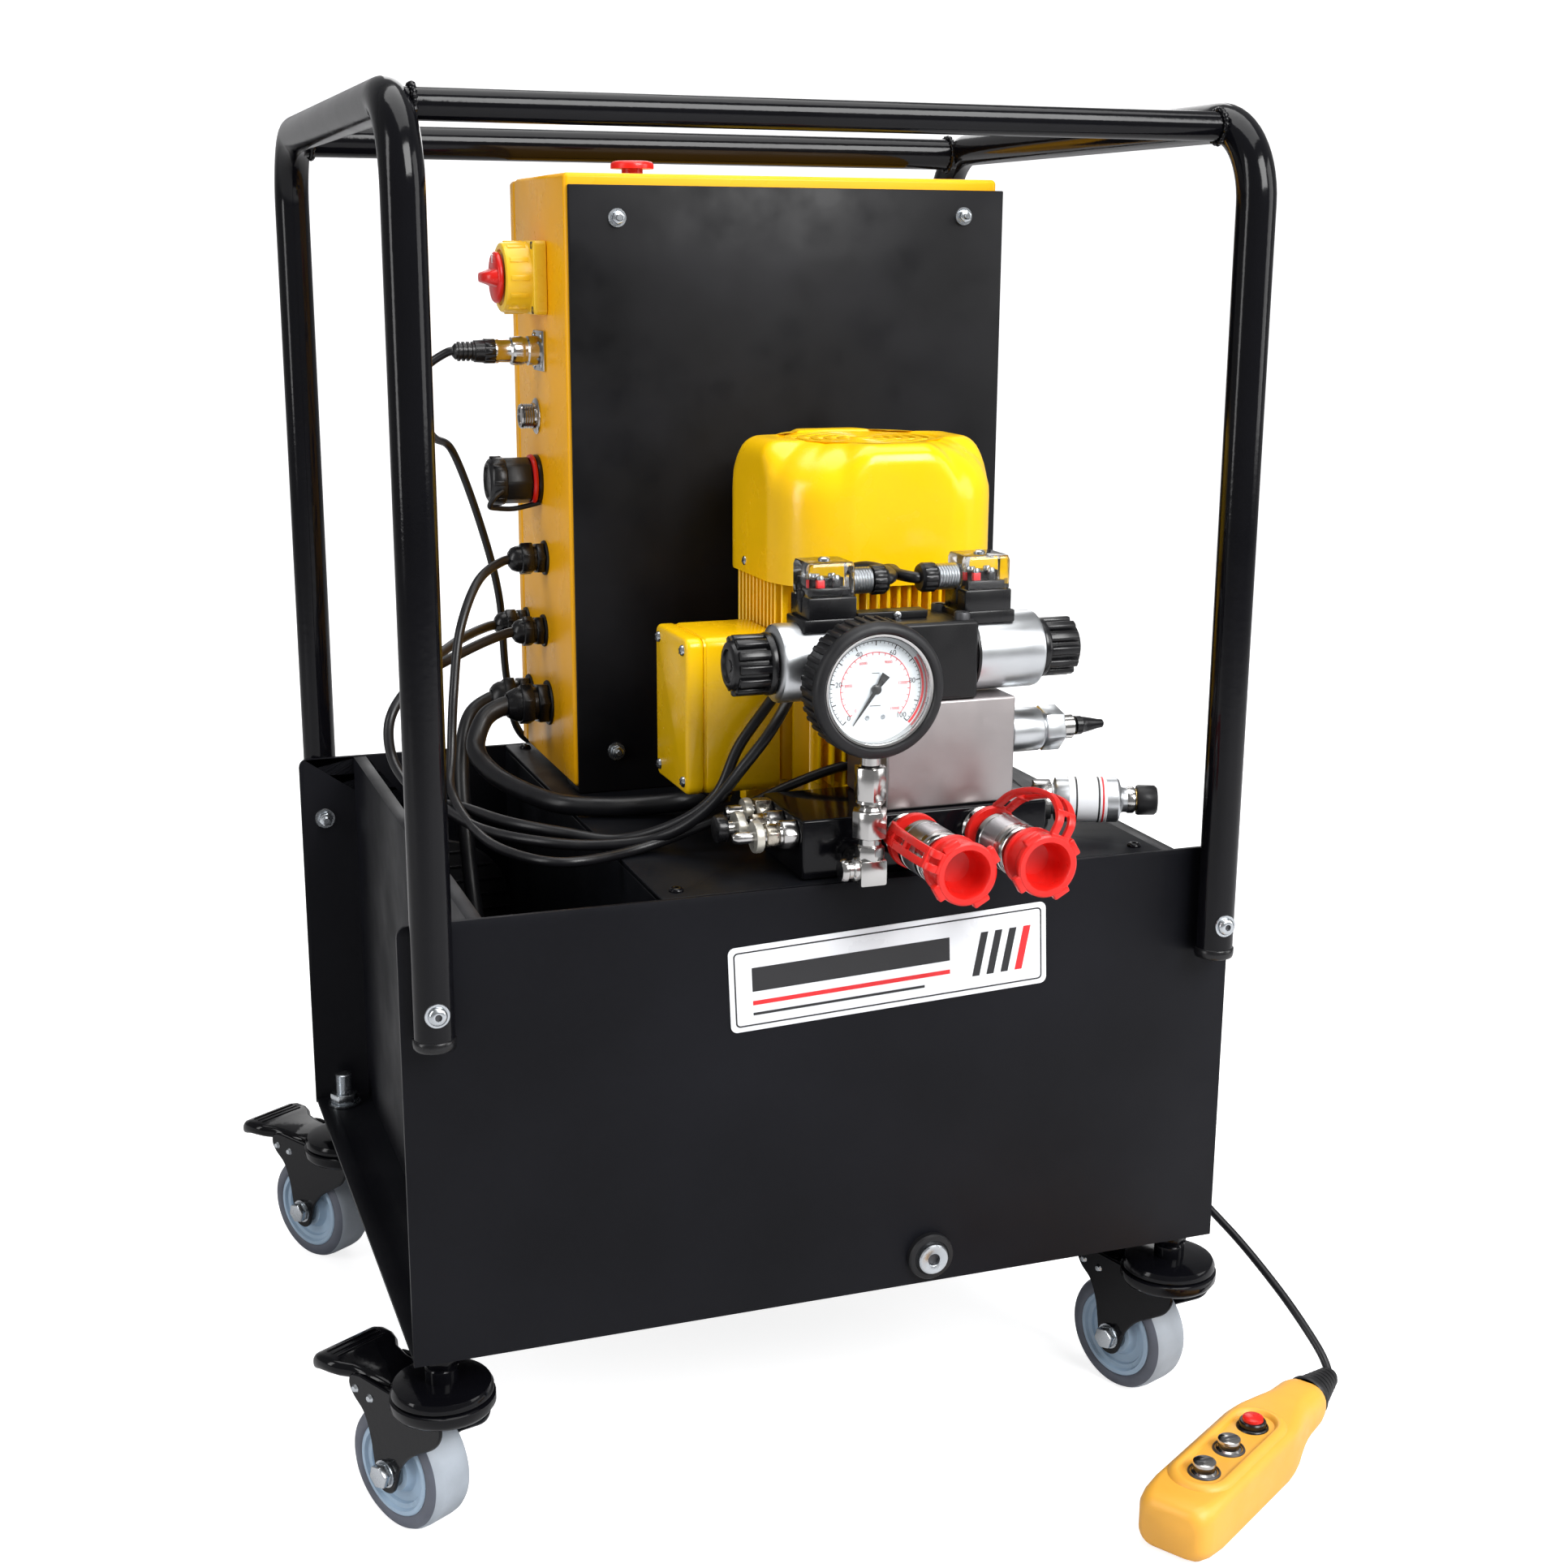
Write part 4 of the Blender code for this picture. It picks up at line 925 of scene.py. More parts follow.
def coil_plug(side, foot):
    """The square connector on a coil, with its clear cover and a threaded cable gland."""
    inward = RIGHT if side == "left" else LEFT
    plug = Piece(foot)
    plug.add(block((-17, -14.5, -4), (17, 14.5, 3.5), 1.2), BLACK_PLASTIC)
    plug.add(block((-14.5, -14.5, 3), (14.5, 14.5, 15.5), 1.2), BLACK_PLASTIC)
    plug.add(block((-15.4, -4, 6), (15.4, 4, 18), 0.8), BLACK_PLASTIC)
    shell = bevelled(loft([[(x, y, z) for x, y in rounded(w, d, 2.4)]
                           for w, d, z in ((27.6, 27.6, 15.7), (27.6, 27.6, 31.5), (26, 26, 34.4))]), 0.5, 2)
    plug.add(shell, CLEAR_PLASTIC)
    plug.add(block((-11, -10.5, 16.2), (11, 10.5, 20.4), 0.4), BLACK_PLASTIC)
    plug.add(block((-9.5, -1, 20), (9.5, 9, 25), 0.4), BLACK_PLASTIC)
    for x, y, paint in ((-5, -5, LABEL_RED), (4, -5, BLACK_PLASTIC), (-5, 4, BRASS), (4, 4, BLACK_PLASTIC)):
        plug.add(block((x - 2.2, y - 2.2, 17.6), (x + 2.2, y + 2.2, 24.5), 0.5), paint)
        plug.add(lathe([(0, 27.0), (1.8, 26.8), (2.2, 26.0), (2.2, 24.5), (0, 24.5)], 16), ZINC, (x, y, 0))
    plug.add(lathe([(0, 36.4), (2.4, 36.2), (3.4, 35.4), (3.4, 34.2), (0, 34.2)], 28), ZINC)
    start = (inward[0] * 12.5, 0, 22.0)
    plug.add(lathe([(6.4, 0), (7.4, 0.4), (7.4, 2.2), (6.6, 2.4)], 36), CLEAR_PLASTIC, start, inward)
    plug.add(threaded(7.6, 1.8, 15.5, 1.7), COIL_STEEL, start, inward)
    plug.add(prism(ribs(14, 8.4, 7.9), 15.5, 23, 0.4, 1), BLACK_PLASTIC, start, inward)
    plug.add(lathe([(8.2, 23), (7.2, 24.6), (4.6, 25.2), (3.2, 25.2)], 36), BLACK_PLASTIC, start, inward)
    plug.done(f"coil_connector_{side}", angle=40)


# ---------------------------------------------------------------- fittings

def side_fittings():
    relief_cartridge()
    pressure_sensor()
    bleeder("front", False)
    bleeder("rear", True)
    third_bleeder()


def relief_cartridge():
    low, high = span("relief_cartridge")
    at = (low.x, (low.y + high.y) / 2, (low.z + high.z) / 2)
    length = high.x - low.x
    relief = Piece(at, RIGHT)
    relief.add(lathe([(0, 0), (12, 0), (12.6, 0.6), (12.6, 5), (11.4, 6), (11.4, 8), (12.8, 9), (13, 10),
                      (13, 28), (12.4, 29.2), (11, 30), (11, 31)], 60), COIL_STEEL)
    relief.add(hex_solid(23.5, 12), COIL_STEEL, (0, 0, 30.6), spin=14)
    relief.add(lathe([(8.6, 42), (8.6, 43.4), (7.4, 44), (7.4, length - 0.6), (6.4, length), (0, length)],
                     40), CHROME)
    relief.stand_in("relief_cartridge")
    relief_knob(*at[1:])


def relief_knob(y, z):
    low, high = span("relief_adjuster")
    reach = high.x - low.x
    knob = Piece((low.x, y, z), RIGHT)
    knob.add(lathe([(0, 0), (3, 0), (3, 1.6), (5.0, 2.0)], 32), BLACK_PLASTIC)
    knob.add(lathe([(5.6, 2.0), (5.6, 5.6), (5.0, 6.4), (4.6, 9), (3.8, 13), (2.9, reach - 4),
                    (2.5, reach - 0.8), (1.6, reach), (0, reach)], 32), BLACK_PLASTIC)
    knob.stand_in("relief_adjuster", moves=True)


SENSOR_TURN = math.radians(-20.8)
SENSOR_X, SENSOR_Y = 133.4, -131.3


def pressure_sensor():
    start = Vector((SENSOR_X, SENSOR_Y, middle("pressure_sensor").z))
    sensor = Piece(start, (math.cos(SENSOR_TURN), math.sin(SENSOR_TURN), 0))
    sensor.add(lathe([(0, 0), (7, 0), (7, 14), (9, 15)], 40), CHROME)
    sensor.add(hex_solid(22, 11), CHROME, (0, 0, 15))
    sensor.add(lathe([(9, 26), (9, 27.4), (13.2, 28.6), (13.6, 30), (13.6, 36)], 60), COIL_STEEL)
    sensor.add(lathe([(13.6, 36), (13.8, 36.1), (13.8, 58.8), (13.6, 59)], 60), LABEL_WHITE)
    for z, paint in ((40, LABEL_BLACK), (53.5, LABEL_BLACK), (56, LABEL_RED)):
        sensor.add(lathe([(13.78, z), (13.9, z + 0.05), (13.9, z + 1.1), (13.78, z + 1.15)], 60), paint)
    sensor.add(lathe([(13.6, 59), (13.6, 65.6), (12.4, 67), (8.2, 68.4), (7.5, 69.6), (7.5, 72)], 60),
               COIL_STEEL)
    sensor.add(knurled(8.2, 72, 76.4, 44, 0.4), CHROME)
    sensor.add(lathe([(7.4, 76.4), (6.6, 77.2), (6.6, 78.4)], 40), BRASS)
    sensor.add(lathe([(7.0, 77.6), (8.8, 78), (9.2, 79), (9.0, 88.6), (7.8, 90), (0, 90)], 44),
               BLACK_RUBBER)
    sensor.stand_in("pressure_sensor", 40)


def third_bleeder():
    third = Piece((-21.3, -135.0, 402.5), LEFT)
    third.add(hex_solid(13, 10), WARM_STEEL)
    third.add(knurled(7.8, 12, 16.5, 40, 0.4), WHITE_ZINC)
    third.add(lathe([(0, 9), (4, 9), (4, 26), (3, 27), (0, 27)], 28), CHROME)
    third.done("third_bleeder")


def bleeder(place, knob):
    node = f"bleed_screw_{place}"
    low, high = span(node)
    y, z = (low.y + high.y) / 2, (low.z + high.z) / 2
    reach = high.x - low.x
    seat = Piece((high.x, y, z), LEFT)
    seat.add(hex_solid(15.5, 9), CHROME, spin=10)
    seat.add(lathe([(6.8, 9), (6.8, 10.4), (5.6, 11)], 36), CHROME)
    seat.add(hex_solid(12.6, 7), WARM_STEEL, (0, 0, 11), spin=22)
    seat.add(lathe([(4.8, 18), (4.4, 19.2), (3.2, 19.2)], 30), CHROME)
    seat.done(f"bleed_seat_{place}")
    screw = Piece((high.x, y, z), LEFT)
    start = reach - 16.5
    screw.add(lathe([(3, start - 3), (3.4, start - 2), (8.0, start - 0.4), (8.6, start)], 40), WHITE_ZINC)
    screw.add(knurled(9.3, start, start + 4.5, 52, 0.5), WHITE_ZINC)
    if knob:
        screw.add(lathe([(4, start + 4), (4, start + 10)], 32), CHROME)
        screw.add(knurled(8.0, reach - 6.5, reach - 0.4, 40, 0.5), BLACK_PLASTIC)
        screw.add(lathe([(7.4, reach - 0.6), (6.6, reach), (0, reach)], 36), BLACK_PLASTIC)
    else:
        screw.add(lathe([(3.4, start + 4), (3.4, reach - 3), (2.6, reach - 1), (1.6, reach), (0, reach)],
                        32), CHROME)
    screw.stand_in(node, 40, moves=True)


# ---------------------------------------------------------------- couplers and gauge

# each tether's turn about the coupler in degrees, and how far its loop stands out
STRAPS = {"left": (155.0, 5.0), "right": (66.0, 14.0)}


def coupler(side):
    low, high = span(f"coupler_{side}")
    at = ((low.x + high.x) / 2, high.y, (low.z + high.z) / 2)
    body = Piece(at, FRONT)
    body.add(lathe([(12.8, 0), (12.8, 1.6), (11.6, 2.4)], 48), CHROME)
    body.add(hex_solid(23, 8), CHROME, (0, 0, 2), spin=10)
    body.add(lathe([(10.8, 9.5), (10.8, 16), (10.5, 16.4), (10.5, 61), (9, 62.4), (0, 62.4)], 48), CHROME)
    body.stand_in(f"coupler_{side}", 40)
    coupler_sleeve(side, at)
    dust_cap(side, at)


def coupler_sleeve(side, at):
    sleeve = Piece(at, FRONT)
    sleeve.add(lathe([(10.9, 22), (13.6, 22), (14.8, 23.4), (15, 24.6), (15, 28.4), (14.3, 29)], 64), CHROME)
    sleeve.add(knurled(15.0, 28.8, 46.4, 72, 0.45), COIL_STEEL)
    sleeve.add(lathe([(14.3, 46.2), (15, 46.8), (15, 50.6), (14.2, 51.4), (14.2, 52.4), (15, 53),
                      (15, 56), (14.2, 57), (10.9, 57), (10.9, 22)], 64), CHROME)
    sleeve.stand_in(f"coupler_sleeve_{side}", 40, moves=True)


def dust_cap(side, at):
    """The red cap over a coupler's nose, with four lugs, and the ring that holds its tether."""
    cap = Piece(at, FRONT)
    cap.add(lathe([(0, 66.5), (9, 67.2), (11.2, 70), (12.2, 74), (12.8, 83.6), (13.6, 85.0), (16.4, 85.2),
                   (17.4, 84.4), (17.6, 82.4), (17.2, 80), (16.6, 79.4), (15.6, 66), (15.2, 63.4),
                   (14.4, 62.8), (0, 62.8)], 64), RED_SOFT)
    for k in range(4):
        lug = block((15.4, -5, 79.8), (20.2, 5, 84.8), 1.2)
        cap.add(lug, RED_SOFT, spin=90 * k + 30)
    cap.add(lathe([(15.4, 64), (16.8, 64.2), (16.9, 66.4), (15.6, 66.8)], 64), RED_SOFT)
    cap.add(lathe([(11.0, 10.8), (15.4, 10.8), (16, 11.8), (16, 15.0), (15.4, 15.9), (11.0, 15.9),
                   (11.0, 10.8)], 64), RED_SOFT)
    strap(cap, *STRAPS[side])
    cap.stand_in(f"dust_cap_{side}", 40)


def strap(cap, turn, high):
    """The flat slotted tether from the cap's rim back to the ring behind the sleeve."""
    points = [(16.6, 0, 83), (20 + high * 0.5, 0, 82), (20.5 + high, 0, 68), (19.5 + high, 0, 46),
              (18.6 + high * 0.5, 0, 24), (15.6, 0, 13.4)]
    path = smooth_path(points, 7)
    for offset in (-3.8, 3.8):
        rings = []
        for i, point in enumerate(path):
            ahead = (path[min(i + 1, len(path) - 1)] - path[max(i - 1, 0)]).normalized()
            out = Vector((ahead.z, 0, -ahead.x))
            rings.append([point + Vector((0, offset + sy * 2.1, 0)) + out * (sx * 1.5)
                          for sx, sy in ((1, 1), (-1, 1), (-1, -1), (1, -1))])
        cap.add(bevelled(loft(rings), 0.4, 2, 50), RED_SOFT, spin=turn)
    for i in (0, len(path) // 4, len(path) // 2, 3 * len(path) // 4, len(path) - 1):
        x, z = path[i].xz
        cap.add(block((x - 1.5, -5.8, z - 2.0), (x + 1.5, 5.8, z + 2.0), 0.6), RED_SOFT, spin=turn)


GAUGE_SWEEP = 270.0


def dial_text(words, size, at, piece, paint):
    """Generic dial figures as thin raised shapes."""
    curve = bpy.data.curves.new("figure", "FONT")
    curve.body = words
    curve.size = size
    curve.align_x = "CENTER"
    curve.align_y = "CENTER"
    curve.extrude = 0.05
    obj = bpy.data.objects.new("figure", curve)
    bpy.context.scene.collection.objects.link(obj)
    bpy.context.view_layer.update()
    mesh = bpy.data.meshes.new_from_object(obj.evaluated_get(bpy.context.evaluated_depsgraph_get()))
    bpy.data.objects.remove(obj, do_unlink=True)
    shape = bmesh.new()
    shape.from_mesh(mesh)
    piece.add(shape, paint, at)


def gauge():
    low, high = span("gauge_case")
    at = ((low.x + high.x) / 2, high.y, (low.z + high.z) / 2)
    depth = high.y - low.y
    radius = (high.x - low.x) / 2
    face = depth - 9.0
    gauge_case(at, depth, radius, face)
    gauge_scale(at, radius - 11.5, face)
    window = Piece(at, FRONT)
    window.add(lathe([(0, depth - 2.9), (radius - 8.9, depth - 3.3), (radius - 8.9, depth - 4.1),
                      (0, depth - 3.7)], 72), GAUGE_GLASS)
    window.done("gauge_window")
    gauge_needle(at, face)
    gauge_stem(at[0])


def gauge_case(at, depth, radius, face):
    case = Piece(at, FRONT)
    case.add(lathe([(0, 0), (radius - 6, 0), (radius - 2.6, 1.2), (radius - 1.4, 3.4),
                    (radius - 1.4, depth - 8), (radius - 0.4, depth - 6.4), (radius - 0.2, depth - 4),
                    (radius - 1.2, depth - 1.6), (radius - 3.4, depth), (radius - 5.4, depth),
                    (radius - 6.4, depth - 1.0), (radius - 6.6, depth - 3)], 96), BLACK_RUBBER)
    for k in range(40):
        rib = block((radius - 3, -1.5, 4), (radius, 1.5, depth - 6), 0.8, 2)
        case.add(rib, BLACK_RUBBER, spin=9 * k)
    case.add(lathe([(radius - 6.4, depth - 2.6), (radius - 7.0, depth - 1.6), (radius - 8.2, depth - 1.8),
                    (radius - 8.8, depth - 3.4), (radius - 8.9, face + 0.3)], 96), CHROME)
    case.add(lathe([(0, face), (radius - 8.6, face)], 96), DIAL_WHITE)
    case.stand_in("gauge_case", 40)


def gauge_scale(at, scale, face):
    """Two scales of generic figures, a red zone and the dial's screws."""
    marks = Piece((at[0], at[1] - face - 0.02, at[2]), FRONT)
    for step in range(51):
        angle = 225 - GAUGE_SWEEP * step / 50
        major = step % 5 == 0
        length = 2.6 if major else 1.4
        width = 0.3 if major else 0.16
        marks.add(block((scale - length, -width, 0), (scale, width, 0.12)), LABEL_BLACK, spin=angle)
        if step % 2 == 0:
            marks.add(block((scale - 7.8, -0.16, 0), (scale - 6.2, 0.16, 0.12)), LABEL_RED, spin=angle)
    for first, last, reach, thick, paint in ((0, 50, scale, 0.2, LABEL_BLACK),
                                             (0, 50, scale - 6.3, 0.2, LABEL_RED),
                                             (35, 50, scale + 1.3, 0.7, LABEL_RED)):
        points = []
        for step in range(first, last + 1):
            angle = math.radians(225 - GAUGE_SWEEP * step / 50)
            points.append((math.cos(angle), math.sin(angle)))
        arc = bmesh.new()
        rows = [[arc.verts.new((x * r, y * r, 0.1)) for x, y in points]
                for r in (reach - thick, reach + thick)]
        for i in range(len(points) - 1):
            arc.faces.new((rows[0][i], rows[0][i + 1], rows[1][i + 1], rows[1][i]))
        marks.add(arc, paint)
    for k in range(6):
        angle = math.radians(225 - GAUGE_SWEEP * k / 5)
        for words, size, back, paint in ((20 * k, 4.0, 4.9, LABEL_BLACK), (3000 * k, 2.3, 10.4, LABEL_RED)):
            spot = (math.cos(angle) * (scale - back), math.sin(angle) * (scale - back), 0.05)
            dial_text(str(words), size, spot, marks, paint)
    for x in (-4.6, 4.6):
        marks.add(lathe([(0, 0.9), (1.0, 0.8), (1.4, 0.2), (1.4, 0)], 20), ZINC, (x, -15.6, 0))
    marks.add(block((-3.2, -9.4, 0), (3.2, -9.0, 0.12)), LABEL_BLACK)
    marks.add(block((-2.2, 8.6, 0), (2.2, 8.9, 0.12)), LABEL_BLACK)
    marks.done("gauge_scale")


def gauge_needle(at, face):
    pivot = middle("gauge_needle")
    pointer = Piece((at[0], at[1] - face - 1.6, at[2]), FRONT)
    blade = [(-2.6, 9.5), (2.6, 9.5), (1.4, 3.0), (1.2, 0), (0.25, -23.5), (-0.25, -23.5), (-1.2, 0),
             (-1.4, 3.0)]
    lean = math.degrees(math.atan2(pivot.x - at[0], at[2] - pivot.z))
    pointer.add(prism(blade, 0, 0.5, 0.1, 1), BLACK_PLASTIC, spin=lean)
    pointer.add(lathe([(0, 1.6), (1.6, 1.5), (2.6, 1.0), (2.6, -1.2), (0, -1.2)], 32), BLACK_PLASTIC)
    pointer.stand_in("gauge_needle", moves=True)


def gauge_stem(x):
    """The nipples and nuts under the gauge, and the elbow that joins them to the block."""
    low, high = span("gauge_stem")
    y = low.y + 9.5
    stem = Piece((x, y, 0))
    stem.add(lathe([(0, high.z), (5.5, high.z), (5.5, 445), (6.5, 444)], 36), CHROME)
    stem.add(hex_solid(16, 19), CHROME, (0, 0, 425), spin=20)
    stem.add(lathe([(7.6, 425), (8.0, 423.6), (7.0, 422.4), (5.8, 421), (6.8, 419.4)], 40), CHROME)
    stem.add(hex_solid(18.5, 15.5), CHROME, (0, 0, 404), spin=5)
    stem.add(lathe([(8.6, 404), (6.6, 403), (6.4, 400), (7.2, 399)], 40), CHROME)
    stem.add(hex_solid(14.6, 8), CHROME, (0, 0, 391), spin=30)
    stem.add(block((-8, -8, 377), (8, 8, 392), 1.6, 2), CHROME)
    stem.stand_in("gauge_stem", 40)
    elbow = Piece((x, y, 386))
    elbow.add(lathe([(7.4, 6), (7.4, 12), (6.6, 13), (6.6, 23.4)], 36), CHROME, axis=BACK)
    elbow.add(hex_solid(15, 6), CHROME, (0, 9, 0), BACK, 12)
    elbow.add(lathe([(6.8, 7), (6.8, 10), (5.4, 11), (5.4, 13), (6.6, 14), (6.6, 16), (5.6, 17.4),
                     (0, 17.4)], 36), CHROME, axis=LEFT)
    elbow.done("gauge_elbow", angle=40)


# ---------------------------------------------------------------- cabinet

GLAND_DRAWN = 19.0       # the size across flats at which a gland's profile is drawn


def gland(piece, at, across, reach, hole, axis=LEFT):
    """A black cable gland: its seal, its body's hexagon, and the nut that closes on the cable."""
    s = across / GLAND_DRAWN
    piece.add(lathe([(0, 0), (11.4 * s, 0), (11.6 * s, 0.8), (11.2 * s, 1.6), (0, 1.6)], 40),
              BLACK_RUBBER, at, axis)
    piece.add(bevelled(hex_solid(across, 5.6 * s, 1.0), 0.3, 1, 40), BLACK_PLASTIC,
              Vector(at) + Vector(axis) * 1.6, axis, 8)
    piece.add(lathe([(8.4 * s, 7 * s), (8.4 * s, 9.6 * s)], 40), BLACK_PLASTIC, at, axis)
    nut_end = reach * 0.7
    nut = bevelled(hex_solid(across, nut_end - 9 * s, 1.4), 0.4, 2, 40)
    piece.add(nut, BLACK_PLASTIC, Vector(at) + Vector(axis) * 9 * s, axis, 20)
    piece.add(lathe([(8.8 * s, nut_end - 0.6), (8.5 * s, reach * 0.8), (7.3 * s, reach * 0.92),
                     (hole + 1.2, reach), (hole, reach - 0.4), (hole - 0.4, reach - 3)], 40),
              BLACK_PLASTIC, at, axis)
    piece.add(lathe([(0, reach - 2.2), (hole, reach - 2.2)], 30), BLACK_RUBBER, at, axis)


# y, z, size across flats, reach and the cable's radius
GLANDS = ((114.0, 519.0, 19.0, 25.0, 3.6), (121.0, 469.0, 18.0, 22.0, 3.4),
          (172.0, 466.0, 18.0, 23.0, 3.4), (113.0, 421.0, 25.0, 29.0, 7.0),
          (168.0, 415.0, 25.0, 28.0, 6.0))


def cabinet():
    softened("cabinet_body", YELLOW_SHEET, 1.2, 3)
    softened("cabinet_door", YELLOW_SHEET, 1.2, 3, "cabinet_door")
    softened("cabinet_plate", BLACK_PANEL, 0.7)
    low, high = span("cabinet_body")
    plate_low = span("cabinet_plate")[0]
    studs = Piece()
    for x, z in ((-59.5, 736.5), (173.0, 739.8), (-64.8, 401.0), (173.0, 401.0)):
        stud_and_nut(studs, (x, plate_low.y, z), FRONT, 7.2, 7.4, 18)
    studs.done("plate_nuts")

    side = Piece()
    for y, z, across, reach, hole in GLANDS:
        gland(side, (low.x, y, z), across, reach, hole)
    side.done("cable_glands", angle=40)
    side_sockets(low.x)
    capped_socket(low.x)
    isolator()
    stop_button(high.z)
    door_fittings(high)


def side_sockets(x):
    """The square-flanged connector with a plug in it, and the empty round one."""
    sockets = Piece()
    plug_at = (x, 113.0, 654.0)
    sockets.add(block((x - 2.4, 100, 641), (x, 126, 667), 1.0), CHROME)
    for y in (103.4, 122.6):
        for z in (644.4, 663.6):
            sockets.add(bolt_head(1.9), ZINC, (x - 2.3, y, z), LEFT)
    sockets.add(lathe([(9.4, 2), (9.4, 9), (8.4, 10), (8.4, 12)], 40), CHROME, plug_at, LEFT)
    sockets.add(knurled(9.2, 12, 20, 44, 0.4), CHROME, plug_at, LEFT)
    sockets.add(lathe([(8.4, 20), (7.4, 21), (7.2, 28), (7.8, 29), (7.8, 31)], 40), CHROME, plug_at, LEFT)
    sockets.add(prism(ribs(10, 8.0, 7.5), 31, 38, 0.4, 1), BLACK_PLASTIC, plug_at, LEFT)
    grip = [(7.4, 38), (7.0, 44)]
    for k in range(4):
        grip += [(6.2, 44.4 + 3 * k), (6.2, 45.6 + 3 * k), (5.2, 46.0 + 3 * k), (5.2, 47.2 + 3 * k)]
    sockets.add(lathe(grip + [(4.4, 57), (3.2, 58), (0, 58)], 36), BLACK_PLASTIC, plug_at, LEFT)
    empty_at = (x, 129.0, 611.0)
    sockets.add(lathe([(11.6, 0), (11.8, 0.8), (11.0, 1.6), (8.6, 2.0), (8.4, 3.4)], 44), CHROME, empty_at,
                LEFT)
    sockets.add(threaded(8.2, 3, 11, 1.4), CHROME, empty_at, LEFT)
    sockets.add(lathe([(8.0, 10.6), (7.6, 11.6), (6.0, 11.6), (6.0, 8.6), (0, 8.6)], 40), CHROME, empty_at,
                LEFT)
    for k in range(4):
        spot = (x - 8.7, 129.0 + 2.4 * math.cos(math.pi / 2 * k), 611.0 + 2.4 * math.sin(math.pi / 2 * k))
        sockets.add(lathe([(0, 2.2), (0.6, 2.0), (0.7, 0), (0, 0)], 12), BRASS, spot, LEFT)
    sockets.done("side_sockets", angle=40)


def capped_socket(x):
    spare = Piece((x, 130.0, 569.0), LEFT)
    spare.add(lathe([(0, 0), (16.4, 0), (16.8, 0.8), (16.4, 2.6), (15.2, 3.4), (0, 3.4)], 56), BLACK_PLASTIC)
    spare.add(lathe([(15.0, 3.2), (16.6, 3.4), (17.0, 4.6), (16.4, 6.0), (14.6, 6.2)], 56), RED_PLASTIC)
    spare.add(prism(circle(15.4, 8), 6.2, 24, 1.2, 2), BLACK_PLASTIC)
    spare.add(lathe([(14.4, 23), (15.6, 24), (15.9, 26), (15.6, 31), (14.2, 33), (12, 34.4), (11, 34.4),
                     (10.4, 33), (0, 33)], 56), BLACK_PLASTIC)
    for k in range(8):
        spare.add(block((14.6, -1.6, 25), (16.4, 1.6, 32.4), 0.6), BLACK_PLASTIC, spin=45 * k)
    spare.done("capped_socket", angle=40)
    tether = Piece()
    loop = smooth_path([(x - 27, 116, 564), (x - 33, 114, 560), (x - 36, 116, 554), (x - 30, 121, 552),
                        (x - 19, 124, 551), (x - 8, 123, 553), (x - 1, 121, 555)], 6)
    tether.add(pipe(loop, 1.7, 12), BLACK_RUBBER)
    tether.done("cap_tether")


def stop_button(deck):
    stop_low, stop_high = span("stop_button")
    centre = middle("stop_button")
    button = Piece((centre.x, centre.y, stop_low.z))
    top = stop_high.z - stop_low.z
    button.add(lathe([(0, top), (10.6, top), (12.6, top - 0.5), (13.6, top - 1.6), (13.8, top - 2.8),
                      (13.8, top - 4.8), (6.8, top - 5.0), (6.8, 0), (0, 0)], 64), RED_PLASTIC)
    button.stand_in("stop_button", moves=True)
    collar = Piece((centre.x, centre.y, deck))
    collar.add(lathe([(7.6, 0), (13.4, 0), (13.6, 0.3), (12, 0.45), (7.6, 0.45), (7.6, 0)], 56), RED_PLASTIC)
    collar.done("stop_collar")


def door_fittings(high):
    """Hinges on the cabinet's upper right back edge, and the turning lock in the door."""
    hinges = Piece()
    for z in (440, 700):
        hinges.add(lathe([(0, -16), (3.2, -16), (3.4, -15), (3.4, 15), (3.2, 16), (0, 16)], 28), DARK_STEEL_AND_SHADE,
                   (high.x, high.y + 0.15, z))
        hinges.add(block((high.x - 0.1, high.y - 14, z - 13), (high.x + 2.0, high.y - 1, z + 13), 0.5),
                   DARK_STEEL_AND_SHADE)
    hinges.done("door_hinges")
    lock = middle("door_lock")
    keyed = Piece((lock.x, span("cabinet_door")[1].y, 570.0), BACK)
    keyed.add(lathe([(0, 1.6), (3.4, 1.6), (3.4, 2.4), (8.6, 2.4), (10, 1.6), (10, 0.3), (8, 0.3),
                     (8, -5), (0, -5)], 48), ZINC)
    # a thin dark bar in the lock's centre is painted shade standing in for the key slot
    keyed.add(block((-0.9, -3.2, 1.5), (0.9, 3.2, 2.0)), DARK_STEEL_AND_SHADE)
    keyed.add(block((-4, -4, -7.2), (4, 22, -4.2), 0.6), ZINC)
    keyed.stand_in("door_lock", moves=True)


def isolator():
    centre = middle("isolator_base")
    base = Piece((span("isolator_base")[1].x, centre.y, centre.z), LEFT)
    plate = rounded(48, 46, 3.5)
    base.add(bevelled(loft([[(px * k, py * k, z) for px, py in plate]
                            for k, z in ((1, 0), (1, 6.2), (0.965, 8.2), (0.93, 8.6))]), 0.4, 1, 40),
             YELLOW_PLASTIC)
    base.add(lathe([(22.6, 8.0), (22.6, 10), (22.2, 22.4), (21.4, 24.6), (20, 25.4), (17.6, 25.2),
                    (17.0, 23.4), (0, 23.4)], 80), YELLOW_PLASTIC)
    for k in range(12):
        base.add(block((21.8, -1.8, 10.5), (22.9, 1.8, 22.6), 0.5), YELLOW_PLASTIC, spin=30 * k)
    for px, py in ((-19, -20), (19, -20), (-19, 20), (19, 20)):
        base.add(lathe([(0, 8.4), (1.5, 8.4), (1.5, 8.9), (2.4, 8.9), (2.4, 8.0)], 20), DARK_STEEL_AND_SHADE,
                 (px, py, 0))
    base.stand_in("isolator_base", 40)
    isolator_knob(centre)


